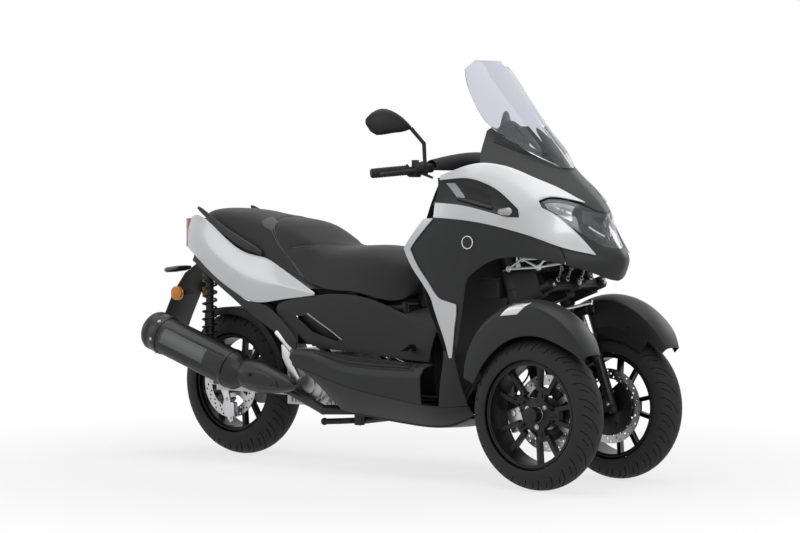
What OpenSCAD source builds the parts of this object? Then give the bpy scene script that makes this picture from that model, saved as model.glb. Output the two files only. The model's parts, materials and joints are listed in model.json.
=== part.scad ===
// Leaning three-wheeled scooter: two steered front wheels on cantilever twin-tube forks,
// one rear wheel. X runs forward, Y to the rider's left, Z up, and the ground is Z = 0.
// Pieces that come in pairs are drawn on the rider's right and mirrored to the left.

/* [Wheels] */
// Distance from the front axle to the rear axle
wheelbase = 1595; // [1540:5:1660]
// Distance between the middles of the two front tyres
track = 470; // [462:1:490]
// Outer radius of a front tyre
front_tyre_r = 262; // [256:1:266]
// Width of a front tyre
front_tyre_w = 120; // [110:1:124]
// Outer radius of the rear tyre
rear_tyre_r = 276; // [270:1:282]
// Width of the rear tyre
rear_tyre_w = 140; // [130:1:146]
// Radius of the bead seat of all three rims
rim_r = 178; // [174:1:182]
// Radius of a brake disc
disc_r = 133; // [120:1:140]
// Thickness of a brake disc
disc_t = 5; // [4:0.5:6]
// Length that the body reaches behind the rear axle
rear_overhang = 393; // [385:1:410]

/* [Steering and forks] */
// Angle of the steering axes back from the vertical
caster = 20; // [18:0.5:22]
// Distance of each kingpin from the middle of the scooter
kingpin_y = 146; // [142:1:148]
// How far the steering axes meet the ground ahead of the front axle
trail = 68; // [60:1:76]
// Radius of the chromed inner fork tubes
fork_tube_r = 15; // [13:0.5:16]
// Radius of the outer fork legs
fork_leg_r = 19; // [17.5:0.5:20]
// Spacing of the two tubes of one fork
fork_spacing = 70; // [64:1:80]
// Radius of a front or rear axle
axle_r = 12; // [10:0.5:14]
// Radius of the kingpins and of the steering column
stem_r = 14; // [12:0.5:16]
// Length of the steering arms that the tie rods join
steer_arm = 90; // [80:1:100]

/* [Body] */
// Thickness of the body panels
panel_t = 4; // [3:0.5:5]
// Gap left between neighbouring panels
panel_gap = 0.4; // [0.3:0.1:0.8]
// Height of the top of the windscreen
screen_top = 1484; // [1440:2:1520]
// Thickness of the windscreen
screen_t = 4; // [3:0.5:5]
// Half the width over the mirrors
mirror_reach = 407; // [395:1:420]
// Half the width over the handlebar ends
bar_reach = 385; // [375:1:392]
// Radius of the handlebar tube
bar_r = 11; // [9:0.5:12]
// Radius of a grip
grip_r = 17; // [15:0.5:19]

/* [Rear end] */
// Radius of the muffler
muffler_r = 72; // [66:1:76]
// Radius of the bore of the exhaust outlet
outlet_r = 18; // [15:0.5:22]
// Radius of a shock absorber's spring
spring_r = 30; // [26:1:34]
// Radius of the holes for a number plate
plate_hole_r = 3; // [2.5:0.5:4]
// Spacing of the holes for a number plate
plate_hole_spacing = 120; // [100:5:140]

/* [Hidden] */
$fn = 48;

clearance = 0.05;
seat_gap = 0.3;
fairing_offset = 5.4;

overall_length = front_tyre_r + wheelbase + rear_overhang;
front_axle_x = overall_length / 2 - front_tyre_r;
rear_axle_x = front_axle_x - wheelbase;
design_wheelbase = 1595;

dark = [0.17, 0.175, 0.18];
black = [0.05, 0.05, 0.055];
silver = [0.78, 0.79, 0.8];
steel = [0.6, 0.6, 0.62];

// Place along the body, d millimetres ahead of the rear axle on a wheelbase of 1595
function bx(d) = rear_axle_x + d * wheelbase / design_wheelbase;
function lerp(a, b, t) = a + (b - a) * t;
function unit(v) = v / max(norm(v), 1e-9);

// Smooth curve through the rows of a table whose first column rises: the value of a column at a key
function row_before(tab, k, i = 0) = i >= len(tab) - 2 || k <= tab[i + 1][0] ? i : row_before(tab, k, i + 1);
function slope(tab, i, c) =
    let (a = tab[max(i - 1, 0)], b = tab[min(i + 1, len(tab) - 1)]) (b[c] - a[c]) / (b[0] - a[0]);
function at(tab, k, c = 1) =
    let (
        i = row_before(tab, k),
        a = tab[i],
        b = tab[i + 1],
        h = b[0] - a[0],
        t = min(max((k - a[0]) / h, 0), 1),
        u = 1 - t
    )
    a[c] * u * u * (1 + 2 * t) + b[c] * t * t * (3 - 2 * t)
        + h * t * u * (u * slope(tab, i, c) - t * slope(tab, i + 1, c));

// A sheet of panel from a grid of points on its outer face, columns front to rear and rows upwards;
// keep says which cells of the grid are there
function face_normal(g, i, j) =
    let (
        n = len(g) - 1,
        m = len(g[0]) - 1,
        a = g[min(i + 1, n)][j] - g[max(i - 1, 0)][j],
        b = g[i][min(j + 1, m)] - g[i][max(j - 1, 0)]
    ) unit(cross(b, a));
module sheet(g, t, keep = function(i, j) true) {
    n = len(g);
    m = len(g[0]);
    count = n * m;
    there = function(i, j) i >= 0 && j >= 0 && i < n - 1 && j < m - 1 && keep(i, j);
    points = concat(
        [for (i = [0:n - 1]) for (j = [0:m - 1]) g[i][j]],
        [for (i = [0:n - 1]) for (j = [0:m - 1]) g[i][j] - face_normal(g, i, j) * t]
    );
    p = function(i, j) i * m + j;
    faces = [for (i = [0:n - 2]) for (j = [0:m - 2]) if (there(i, j))
        let (a = p(i, j), b = p(i + 1, j), c = p(i + 1, j + 1), d = p(i, j + 1))
        each [
            [a, b, c, d],
            [d + count, c + count, b + count, a + count],
            if (!there(i, j - 1)) [b, a, a + count, b + count],
            if (!there(i + 1, j)) [c, b, b + count, c + count],
            if (!there(i, j + 1)) [d, c, c + count, d + count],
            if (!there(i - 1, j)) [a, d, d + count, a + count],
        ]];
    polyhedron(points, faces, convexity = 8);
}
// A closed skin over rings of points that turn right-handed about the way they follow each other
module skin(rings) {
    n = len(rings);
    m = len(rings[0]);
    faces = concat(
        [[for (i = [0:m - 1]) i]],
        [[for (i = [m - 1:-1:0]) (n - 1) * m + i]],
        [for (k = [0:n - 2]) for (i = [0:m - 1]) let (j = (i + 1) % m)
            [k * m + i, (k + 1) * m + i, (k + 1) * m + j, k * m + j]]
    );
    polyhedron([for (r = rings) each r], faces, convexity = 6);
}
module both() {
    children();
    mirror([0, 1, 0]) children();
}
// A round bar between two points, and a chain of them with ball corners
module bar(a, b, r) {
    v = b - a;
    translate(a)
        rotate([0, acos(v[2] / norm(v)), atan2(v[1], v[0])])
            cylinder(r = r, h = norm(v));
}
joint_swell = 1.05;
// A ball whose seam keeps clear of the tubes it joins
ball_turn = [0, 90, 0];
module ball(r) {
    rotate(ball_turn) sphere(r = r);
}
module tube_path(points, r) {
    for (i = [0:len(points) - 2]) bar(points[i], points[i + 1], r);
    for (i = [1:len(points) - 2]) translate(points[i]) ball(r * joint_swell);
}
// A cylinder that lies along Y, from y0 to y1
module across(x, z, r, y0, y1) {
    translate([x, y1, z]) rotate([90, 0, 0]) cylinder(r = r, h = y1 - y0);
}
// A box from corner to corner
module block(a, b) {
    translate(a) cube(b - a);
}

// The fairing's surface: station s counts degrees from the nose (0) to the widest place (90) and on
// along the side, negative on the left; z is the height.
// Columns: height, nose ahead of the rear axle, half width
bow_table = [
    [430, 1432, 256], [600, 1612, 280], [700, 1744, 286], [750, 1780, 295], [800, 1788, 303],
    [850, 1750, 306], [900, 1722, 304], [950, 1711, 298], [1000, 1666, 286], [1050, 1606, 270],
    [1100, 1552, 248], [1150, 1499, 220], [1200, 1447, 190], [1250, 1392, 160],
];
bow_back = 1212;
bow_point = 1.25;
side_step = 8;
side_turn = 60;
side_tuck = 0.35;
function bow_at(s, z) =
    let (a = abs(s), w = at(bow_table, z, 2))
    a <= 90
        ? [bx(bow_back + (at(bow_table, z, 1) - bow_back) * cos(a)), -sign(s) * w * pow(sin(a), bow_point), z]
        : [bx(bow_back - (a - 90) * side_step), -sign(s) * w * (1 - side_tuck * pow((a - 90) / side_turn,
            2)), z];
function bow_normal(s, z) =
    let (ds = bow_at(s + 1, z) - bow_at(s - 1, z), dz = bow_at(s, z + 2) - bow_at(s, z - 2))
    unit(cross(dz, ds));
function bow(s, z, off = 0) = bow_at(s, z) + bow_normal(s, z) * off;

// Feature lines of the fairing. Columns: station, height
arch_line = [[0, 715], [12, 722], [22, 739], [39, 773], [53, 795], [65, 797], [73, 766], [79, 719],
    [82, 680]];
silver_low = [[24, 806], [39, 832], [47, 862], [58, 891], [69, 913], [81, 926], [93, 930]];
silver_mid_low = [[24, 812], [27, 873], [33, 920], [43, 966], [50, 940], [54, 934], [60, 936], [68, 954],
    [79, 974], [93, 982]];
silver_mid_high = [[17, 982], [28, 998], [36, 1005], [43, 990], [50, 972], [54, 962], [56, 995],
    [62, 1035], [75, 1067], [93, 1060]];
silver_high = [[17, 986], [20, 996], [27, 1033], [37, 1065], [50, 1104], [67, 1120], [80, 1106], [93, 1076]];
lamp_low = [[0, 828], [13, 834], [21, 858], [33, 921], [38, 942], [43, 972]];
lamp_high = [[0, 946], [13, 956], [19, 978], [28, 993], [36, 1000], [43, 984]];
cowl_high = [[0, 1120], [20, 1158], [40, 1212], [52, 1240], [60, 1246], [64, 1228], [69, 1158]];

function steps(a, b, n) = [for (i = [0:n]) lerp(a, b, i / n)];
function fairing_grid(stations, low, high, rows, off = 0) =
    [for (s = stations) let (a = low(abs(s)), b = high(abs(s)))
        [for (j = [0:rows]) bow(s, lerp(a, b, j / rows), off)]];

module silver_fairing() {
    stations = concat(steps(17, 24, 2), steps(28, 43, 3), [48.5], steps(54, 93, 7));
    rows = 2;
    g = [for (s = stations) concat(
        [for (j = [0:rows]) bow(s, lerp(at(silver_low, s), at(silver_mid_low, s), j / rows), fairing_offset)],
        [for (j = [1:rows - 1]) bow(s, lerp(at(silver_mid_low, s), at(silver_mid_high, s), j / rows),
            fairing_offset)],
        [for (j = [0:rows]) bow(s, lerp(at(silver_mid_high, s), at(silver_high, s), j / rows),
            fairing_offset)]
    )];
    keep = function(i, j) j < rows ? stations[i] >= 24
        : j < 2 * rows ? stations[i] >= 43 && stations[i + 1] <= 54 : true;
    sheet(g, panel_t, keep);
}
// Columns: height, station of the rear edge, station of the front edge
trim_table = [
    [440, 87.5, 84.5], [500, 90, 83], [560, 92.5, 82.4], [630, 95.5, 82.2], [646, 96, 91.5], [700, 101, 97],
    [750, 106, 102], [800, 109.5, 105.5], [820, 110.5, 106.5], [850, 107.5, 103], [897, 102, 97],
        [927, 98.5, 93.2],
];
module leg_shield_trim() {
    cols = 5;
    g = [for (c = [0:cols]) [for (z = concat(steps(440, 630, 5), steps(646, 820, 6), steps(840, 927, 4)))
        bow(lerp(at(trim_table, z, 2), at(trim_table, z, 1), c / cols), z, fairing_offset)]];
    sheet(g, panel_t);
}
module silver_fairings() {
    color(silver) both() {
        silver_fairing();
        leg_shield_trim();
    }
}

// Dark lower side fairing: its lower edge follows the wheel arch, its upper edge laps under the silver
function fairing_low(s) = s < 82 ? at(arch_line, s) : 445;
function fairing_high(s) = s < 93 ? at(silver_low, s) + 14 : at([[93, 944], [98, 905], [103, 862],
    [108, 822]], s);
function fairing_rear_low(s) = at([[93, 640], [97.5, 700], [102.5, 750], [106, 800], [108, 818]], s);
module side_fairing() {
    stations = concat(steps(39.4, 79, 8), steps(81, 93, 3), steps(96, 107, 4));
    rows = 5;
    g = [for (s = stations)
        let (a = s <= 79 ? at(arch_line, s) : s <= 93 ? lerp(470, 600,
            (s - 81) / 12) : fairing_rear_low(s), b = fairing_high(s))
        [for (j = [0:rows]) bow(s, lerp(a, b, j / rows))]];
    sheet(g, panel_t);
}
// Dished pocket behind the front indicator, under the silver panel's cut-out
module indicator_pocket() {
    stations = steps(50, 95, 9);
    rows = 5;
    g = [for (i = [0:len(stations) - 1])
        let (s = stations[i], a = at(silver_mid_low, max(s, 54)) - 9, b = at(silver_mid_high, max(s, 54)) + 9)
        [for (j = [0:rows])
            let (u = i / (len(stations) - 1), v = j / rows,
                dish = pow(sin(180 * v), 0.7) * min(1, 3 * u) * pocket_depth)
            bow(s, lerp(a, b, v), -dish)]];
    sheet(g, panel_t);
}
pocket_depth = 16;
// Lower leg panel between the trim and the front end of the floor pan
leg_panel_top = 462;
module lower_leg_panel() {
    cols = 5;
    g = [for (c = [0:cols])
        let (st = lerp(82.6, 92, c / cols), d = lerp(1266, 1176, c / cols), lap = bow(st, leg_panel_top - 28),
            foot = [bx(d), -at(pan_table, d, 2), at(pan_table, d, 1) + 2])
        concat([for (t = [0, 0.33, 0.67]) lerp(foot, lap, t) - [0, 7 * sin(180 * t), 0]],
            [lap, bow(st, leg_panel_top)])];
    sheet(g, panel_t);
}
module side_fairings() {
    color(dark) both() {
        side_fairing();
        indicator_pocket();
        lower_leg_panel();
    }
}
module nose_chin() {
    color(dark) sheet(
        fairing_grid(steps(-39, 39, 18), function(s) at(arch_line, s),
            function(s) s < 33 ? at(lamp_low, s) - 1 : lerp(920, 846, (s - 33) / 6), 5),
        panel_t);
}
module upper_cowl() {
    cowl_low = [[0, 948], [13, 958], [17, 976], [20, 984], [27, 1020], [37, 1052], [50, 1092], [69, 1106]];
    color(dark) sheet(
        fairing_grid(steps(-69, 69, 24), function(s) at(cowl_low, s), function(s) at(cowl_high, s), 6),
        panel_t);
}
module headlamp_lens() {
    color([0.75, 0.78, 0.8, 0.5]) sheet(
        fairing_grid(steps(-43, 43, 18), function(s) at(lamp_low, s), function(s) at(lamp_high, s), 4, -1),
        3);
}
lamp_depth = 26;
module headlamp_housing() {
    // a dished bowl whose rim stands behind the edge of the lens
    stations = steps(-43, 43, 18);
    rows = 4;
    g = [for (s = stations) [for (j = [0:rows])
        let (v = j / rows, edge = min(1, (43 - abs(s)) / 9),
            dish = 4.4 + lamp_depth * min(1, 3 * sin(180 * v)) * edge)
        bow(s, lerp(at(lamp_low, abs(s)), at(lamp_high, abs(s)), v), -dish)]];
    color(black) sheet(g, 3);
}
module front_indicators() {
    // a pod on a short stalk that stands out of the pocket
    base = bow(66, 956, -pocket_depth + seat_gap);
    tip = bow(58, 950, 24);
    color([0.85, 0.8, 0.72]) both() {
        hull() {
            translate(tip) sphere(r = 14, $fn = 16);
            translate(lerp(base, tip, 0.49)) sphere(r = 11, $fn = 16);
        }
    }
}

// Windscreen. Columns: height, middle ahead of the rear axle, half width, set-back of the edge
screen_table = [
    [1104, 1556, 30, 4], [1150, 1514, 105, 36], [1200, 1466, 138, 64], [1251, 1420, 166, 94],
        [1330, 1345, 168, 82],
    [1420, 1260, 152, 50], [1462, 1221, 124, 32], [1484, 1200, 72, 10],
];
function screen_height(z) = 1104 + (z - 1104) * (screen_top - 1104) / (1484 - 1104);
function screen_point(u, z) =
    [bx(at(screen_table, z, 1) - at(screen_table, z, 3) * u * u), -u * at(screen_table, z, 2),
        screen_height(z)];
module screen() {
    color([0.8, 0.84, 0.88, 0.35]) sheet(
        [for (u = steps(-1, 1, 10)) [for (z = steps(1104, 1484, 12)) screen_point(u, z)]], screen_t);
}
module screen_brackets() {
    // a bar on each side between the cowl and the screen
    color(black) both()
        sheet([for (s = [0.28, 0.44, 0.6]) [for (z = steps(1156, 1250, 5))
            screen_point(s, z) - [screen_t + seat_gap + 1.4, 0, 1.4]]], 9);
}

// Rider's side of the leg shield. Columns: height, ahead of the rear axle, half width, how far its middle
// stands out towards the rider
shield_table = [
    [430, 1116, 150, 6], [520, 1108, 180, 6], [600, 1106, 235, 6], [700, 1106, 268, 4], [820, 1104, 276, 4],
    [920, 1124, 270, 10], [1000, 1150, 262, 20], [1060, 1165, 240, 32],
];
function shield_x(z, y) =
    at(shield_table, z, 1) - at(shield_table, z, 3) * (1 - pow(y / at(shield_table, z, 2), 2));
module leg_shield() {
    color(black) sheet(
        [for (u = steps(1, -1, 10)) [for (z = steps(430, 1060, 9))
            let (y = -u * at(shield_table, z, 2)) [bx(shield_x(z, y)), y, z]]], panel_t);
}
dash_z = 1172;
module dash_hood() {
    color(black) skin([for (t = steps(1, 0, 6))
        let (r = sin(30 + 120 * t), x = lerp(1345, 1235, t), top = lerp(1240, 1272, sin(180 * t)))
        [for (a = steps(0, 180, 9)) [bx(x), 92 * r * cos(a), dash_z + (top - dash_z) * r * sin(a)]]]);
}

// Body below and behind the rider. Columns: ahead of the rear axle, low edge height and half width,
// high edge height and half width
side_table = [
    [372, 560, 215, 598, 209], [440, 520, 222, 620, 206], [545, 452, 232, 632, 203],
        [615, 444, 232, 642, 200],
    [752, 436, 230, 638, 193], [862, 428, 228, 612, 186], [962, 422, 224, 572, 168],
        [1032, 418, 220, 556, 158],
    [1093, 416, 214, 548, 152],
];
side_bulge = 10;
function side_point(d, v) =
    [bx(d), -lerp(at(side_table, d, 2), at(side_table, d, 4), v) - side_bulge * sin(180 * v),
        lerp(at(side_table, d, 1), at(side_table, d, 3), v)];
module side_panels() {
    color(black) both() difference() {
        sheet([for (d = steps(1093, 372, 13)) [for (v = steps(0, 1, 4)) side_point(d, v)]], panel_t);
        translate([0, -180, 0]) rotate([90, 0, 0]) linear_extrude(height = 100)
            polygon([[bx(470), 556], [bx(520), 560], [bx(690), 482], [bx(676), 472], [bx(560), 500]]);
    }
}
// Tunnel: its foot lies inside the side panels' upper edges and its front end meets the leg shield
tunnel_rise = 20;
function tunnel_half(d) = at(side_table, d, 4) - panel_t - 0.8;
function tunnel_z(d, y) = at(side_table, d, 3) - 3 + tunnel_rise * (1 - pow(y / tunnel_half(d), 2));
tunnel_back = 946;
module tunnel_cover() {
    color(black) difference() {
        sheet([for (t = steps(0, 1, 5)) [for (u = steps(1, -1, 10))
            let (front = shield_x(566, u * 150) - 0.8, d = lerp(front, tunnel_back, t),
                y = u * tunnel_half(d))
            [bx(d), y, tunnel_z(d, y)]]], panel_t);
        block([bx(lid_back), -lid_half, 530], [bx(lid_front) + 6, lid_half, 650]);
    }
}
// Fuel lid on a hinge pin along its front edge
lid_half = 48;
lid_front = 1052;
lid_back = 966;
module fuel_lid() {
    half = lid_half - panel_gap - 0.4;
    color(black) {
        sheet([for (d = steps(lid_front - panel_gap, lid_back + panel_gap + 1.6, 4)) [for (u = steps(1, -1, 6))
            [bx(d), u * half, tunnel_z(d, u * half)]]], panel_t);
        across(bx(lid_front), tunnel_z(lid_front, 0) + 1, panel_gap + 1.6, -30, 30);
    }
}
// Footboards. Columns: ahead of the rear axle, foot of the side wall, outer edge, inner edge
board_table = [
    [500, 382, 428, 446], [560, 366, 432, 446], [640, 346, 412, 438], [740, 320, 378, 430],
        [860, 300, 372, 424],
    [1000, 282, 374, 418], [1110, 270, 376, 415],
];
module footboards() {
    color(dark) both()
        sheet([for (d = board_columns)
            let (foot = at(board_table, d, 1), edge = at(board_table, d, 2), inner = at(board_table, d, 3))
            [[bx(d), -278, foot], [bx(d), -285, lerp(foot, edge, 0.5)], [bx(d), -286, edge - 8],
                [bx(d), -281, edge], [bx(d), -266, lerp(edge, inner, 0.55)],
                    [bx(d), -at(side_table, d, 2) - panel_gap, inner - 6]]],
            panel_t);
}
// Floor pan. Columns: ahead of the rear axle, top of the side, half width there, low edge, half width there
pan_table = [
    [500, 381, 278, 372, 250], [590, 357, 278, 322, 240], [660, 340, 278, 232, 214],
        [800, 311, 278, 208, 205],
    [980, 284, 278, 192, 200], [1110, 269, 278, 186, 198], [1190, 262, 255, 196, 186],
        [1270, 268, 205, 236, 180],
];
function belly_z(d, y) =
    at(pan_table, d, 3) - panel_gap - panel_t - 0.5 - belly_sag * (1 - pow(y / at(pan_table, d, 4), 2));
belly_sag = 8;
board_columns = steps(1110, 500, 10);
module floor_pan() {
    color(dark) {
        both() sheet([for (d = concat([1270, 1220, 1165], board_columns))
            let (top = d > 1110 ? at(pan_table, d, 1) : at(board_table, d, 1) - 1.6, wide = at(pan_table,
                d, 2),
                low = at(pan_table, d, 3), foot = at(pan_table, d, 4))
            [for (t = [0, 0.3, 0.65, 1]) [bx(d), -lerp(foot, wide, t) - 8 * sin(180 * t), lerp(low, top,
                t) - panel_gap]]],
            panel_t);
        // belly plate under the lower edges of the two sides
        sheet([for (d = concat([1250, 1220, 1165],
            [for (d = board_columns) if (d > 740) d])) [for (u = steps(1, -1, 6))
            let (y = u * (at(pan_table, d, 4) - 0.5)) [bx(d), y, belly_z(d, y)]]], panel_t);
    }
}

// Silver tail panel. Columns: ahead of the rear axle, then height and half width of the low edge,
// of the crease and of the high edge
tail_table = [
    [-178, 792, 122, 855, 121, 908, 100], [-118, 762, 145, 840, 148, 921, 128],
        [-48, 722, 162, 806, 168, 895, 146],
    [32, 677, 177, 762, 186, 850, 160], [122, 636, 190, 722, 200, 800, 174],
        [202, 603, 200, 695, 209, 773, 178],
    [277, 597, 206, 680, 214, 768, 181], [392, 614, 208, 665, 213, 714, 187],
        [545, 634, 206, 638, 207, 644, 205],
];
module tail_panels() {
    rows = 4;
    color(silver) both()
        sheet([for (d = steps(545, -178, 14)) [for (j = [0:rows])
            let (h = j / rows * 2, c = h < 1 ? 1 : 3, t = h < 1 ? h : h - 1)
            [bx(d), -lerp(at(tail_table, d, c + 1), at(tail_table, d, c + 3), t),
                lerp(at(tail_table, d, c), at(tail_table, d, c + 2), t)]]], panel_t);
}
// Dark strip under the tail panel. Columns: low edge ahead of the rear axle, its height, its half width,
// high edge ahead of the rear axle, its height, its half width
strip_rows = [
    [-138, 742, 138, -126, 764, 140], [-48, 696, 158, -40, 716.6, 161], [32, 652, 173, 40, 672.4, 176],
    [110, 612, 184, 122, 634.8, 188], [188, 566, 191, 204, 598.4, 198], [262, 530, 199, 290, 592.4, 205],
    [346, 491, 206, 366, 556, 213], [470, 425, 226, 488, 470, 240],
];
// Dark deck under the rear of the seat, between the tail panels. Columns: ahead of the rear axle, height
deck_table = [[-176, 866], [-118, 858], [-58, 850], [82, 820], [182, 782], [300, 738]];
function tail_wall(d, z) =
    let (low = at(tail_table, d, 3), high = at(tail_table, d, 5))
    lerp(at(tail_table, d, 4), at(tail_table, d, 6), (z - low) / (high - low));
module tail_deck() {
    sheet([for (d = steps(300, -174, 8)) [for (u = [1, 0.5, 0, -0.5, -1])
        let (z = at(deck_table, d)) [bx(d), u * (tail_wall(d, z) - panel_t - 2.2), z + 6 * (1 - u * u)]]],
            panel_t);
}
module tail_trims() {
    n = len(strip_rows) - 1;
    keyed = [for (i = [0:n]) concat([i], strip_rows[i])];
    color(dark) tail_deck();
    color(dark) both()
        sheet([for (k = steps(n, 0, 14)) [for (j = [0:2])
            let (t = j / 2)
            [bx(lerp(at(keyed, k, 1), at(keyed, k, 4), t)), -lerp(at(keyed, k, 3), at(keyed, k, 6), t),
                lerp(at(keyed, k, 2), at(keyed, k, 5), t)]]], panel_t);
}
module tail_lamp() {
    // columns: ahead of the rear axle at the foot, lean, half width at the foot, half width at the top
    rings = [[-204, 12, 104, 90], [-192, 8, 116, 100], [-178 - panel_gap, 0, 119, 103]];
    color([0.55, 0.02, 0.03]) skin([for (r = rings) [for (p = [[-1, 0], [1, 0], [1, 1], [-1, 1]])
        [bx(r[0] - r[1] * p[1]), p[0] * lerp(r[2], r[3], p[1]), lerp(794, 902, p[1])]]]);
}
// A loft round a line of points. Columns: ahead of the rear axle, across, height, half thickness, half depth
module blade(rows, sides = 8) {
    skin([for (p = rows) [for (k = [0:sides - 1]) let (a = 360 * k / sides)
        [bx(p[0]), p[1] + p[3] * cos(a), p[2] + p[4] * sin(a)]]]);
}
module grab_rails() {
    color([0.2, 0.2, 0.2]) both() blade([[-96, -149, 944, 4, 5], [-84, -150, 939, 7, 11],
        [-10, -162, 900, 8, 15],
        [60, -172, 860, 8, 17], [166, -184, 818, 8, 18], [240, -181, 789, 8, 13], [262, -180, 777.4, 6, 9]]);
}
// Columns: behind the rear axle, height
plate_line = [[rear_overhang, 430], [350, 520], [300, 612], [235, 690], [160, 735], [100, 763]];
module mudguards() {
    color(black) {
        // plate carrier that hangs behind the rear wheel, with two holes for a number plate
        difference() {
            sheet([for (u = steps(-1, 1, 4)) [for (p = plate_line) [rear_axle_x - p[0], u * 78, p[1]]]], 6);
            for (y = [-1, 1]) translate([rear_axle_x - (plate_line[0][0] + plate_line[1][0]) / 2,
                y * plate_hole_spacing / 2,
                (plate_line[0][1] + plate_line[1][1]) / 2])
                rotate([0, -atan2(plate_line[1][1] - plate_line[0][1],
                    plate_line[0][0] - plate_line[1][0]), 0])
                    cylinder(r = plate_hole_r, h = 40, center = true);
        }
        // hugger over the tyre, carried by the engine
        translate([rear_axle_x, 0, rear_tyre_r]) rotate([90, 0, 0]) rotate(14) rotate_extrude(angle = 96,
            $fn = 96)
            translate([rear_tyre_r - 14, -82]) difference() {
                square([28, 164]);
                translate([-1, 5]) square([24, 154]);
            }
        block([bx(262), -22, 384], [bx(312) - seat_gap, 22, 396]);
    }
}
module rear_indicators() {
    color([0.3, 0.2, 0.12]) both() skin([for (p = [[-200, -80.6, 711, 7], [-203, -93, 711, 10],
        [-217, -132, 708, 13], [-238, -178, 704, 10], [-246, -180, 704, 5]])
        [for (a = [0:45:315]) [bx(p[0]) + 0.8 * p[3] * cos(a), p[1] - 0.4 * p[3] * cos(a),
            p[2] + p[3] * sin(a)]]]);
}
module reflectors() {
    color([0.9, 0.5, 0.05]) both() across(bx(-270), 610, 27, -94, -78.5);
}

// Seat. Columns: ahead of the rear axle, underside, top, half width at the foot, half width at the top
seat_table = [
    [-128, 882, 928, 96, 60], [-108, 878, 938, 118, 80], [-58, 870, 944, 138, 100], [82, 838, 940, 156, 118],
    [182, 800, 926, 166, 126], [282, 764, 914, 174, 130], [392, 722, 898, 180, 128],
        [462, 696, 862, 184, 132],
    [532, 672, 818, 188, 140], [612, 656, 815, 192, 140], [732, 652, 819, 188, 132],
        [842, 628, 806, 174, 118],
    [912, 626, 770, 146, 95], [950, 656, 702, 108, 70],
];
function seat_ring(d) =
    let (low = at(seat_table, d, 1), top = at(seat_table, d, 2), foot = at(seat_table, d, 3),
        head = at(seat_table, d, 4))
    [for (p = [[-1, 0], [-1, 0.35], [-1, 0.8], [-0.8, 1.06], [-0.4, 1.16], [0, 1.2], [0.4, 1.16],
        [0.8, 1.06], [1, 0.8], [1, 0.35], [1, 0]])
        let (h = min(p[1] / 1.2, 1)) [bx(d), -p[0] * lerp(foot, head, h * abs(p[0])), lerp(low, top, h)]];
module seat() {
    color(black) difference() {
        union() {
            skin([for (d = steps(-128, 950, 28)) seat_ring(d)]);
            // knuckles of the hinge at the front
            for (y = [-70, 40]) block([bx(seat_hinge[0]) - 12, y, seat_hinge[1] - 12],
                [bx(seat_hinge[0]) + 12, y + 30, seat_hinge[1] + 40]);
        }
        across(bx(seat_hinge[0]), seat_hinge[1], 8 + clearance, -200, 200);
    }
}
tub_half = 136.6;
module storage_tub() {
    color(black) difference() {
        block([bx(470), -tub_half, 440], [bx(790), tub_half, 632]);
        block([bx(470) + 4, -tub_half + 4, 444], [bx(790) - 4, tub_half - 4, 650]);
    }
}

// Wheels stand on the ground at their axle's x, their middle plane at y
module wheel_at(x, y, r) {
    translate([x, y, r]) rotate([90, 0, 0]) children();
}
bead_w = 86;
flange = 9;
module tyre(r, w) {
    color([0.07, 0.07, 0.07]) rotate_extrude($fn = 96) {
        difference() {
            translate([r - w / 2, 0]) circle(r = w / 2);
            translate([0, -w]) square([rim_r + flange + 1, 2 * w]);
        }
        translate([rim_r + seat_gap, -bead_w / 2 + seat_gap]) square([flange + 2, bead_w - 2 * seat_gap]);
    }
}
spoke_w = 15;
spoke_t = 22;
hub_r = 58;
module rim_body() {
    barrel = 7;
    rotate_extrude($fn = 96) {
        translate([rim_r - barrel, -bead_w / 2 - 6]) square([barrel, bead_w + 12]);
        for (y = [-bead_w / 2 - 6, bead_w / 2 + seat_gap]) translate([rim_r - 1, y]) square([1 + flange,
            6 - seat_gap]);
    }
    cylinder(r = hub_r, h = spoke_t, center = true);
    for (k = [0:4]) rotate(k * 72) linear_extrude(height = spoke_t, center = true) {
        translate([hub_r - 8, -spoke_w]) square([46, 2 * spoke_w]);
        for (a = [-1, 1]) rotate(a * 14) translate([hub_r + 24, -spoke_w / 2])
            square([rim_r - barrel - hub_r - 21, spoke_w]);
    }
}
boss_r = 40;
front_boss = 60;
front_cap = 48;
rear_boss = 92;
module front_rim() {
    color(black) difference() {
        union() {
            rim_body();
            translate([0, 0, -front_boss]) cylinder(r = boss_r, h = front_boss);
            cylinder(r = 27, h = front_cap);
        }
        translate([0, 0, -front_boss - 1]) cylinder(r = axle_r + clearance, h = front_boss + 1 + spoke_t / 2);
    }
}
module rear_rim() {
    color(black) difference() {
        union() {
            rim_body();
            translate([0, 0, -rear_boss]) cylinder(r = boss_r, h = 2 * rear_boss);
        }
        cylinder(r = axle_r + clearance, h = 2 * rear_boss + 2, center = true);
    }
}
// Brake disc: a friction ring on five arms round the hub's boss, its face at the given height
module disc(face) {
    color(steel) translate([0, 0, face]) linear_extrude(height = disc_t) {
        difference() {
            circle(r = disc_r);
            circle(r = disc_r - 36);
        }
        difference() {
            union() {
                circle(r = 56);
                for (k = [0:4]) rotate(k * 72 + 36) translate([45, -11]) square([disc_r - 36 - 45 + 2, 22]);
            }
            circle(r = boss_r + seat_gap);
        }
    }
}
disc_seat = 56;
rear_disc_seat = 70;
// side is -1 on the right and 1 on the left; the wheel's outer face looks away from the middle
module front_wheel(side) {
    if (side < 0) wheel_at(front_axle_x, -track / 2, front_tyre_r) children();
    else mirror([0, 1, 0]) wheel_at(front_axle_x, -track / 2, front_tyre_r) children();
}
module rear_wheel() {
    wheel_at(rear_axle_x, 0, rear_tyre_r) children();
}

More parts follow.
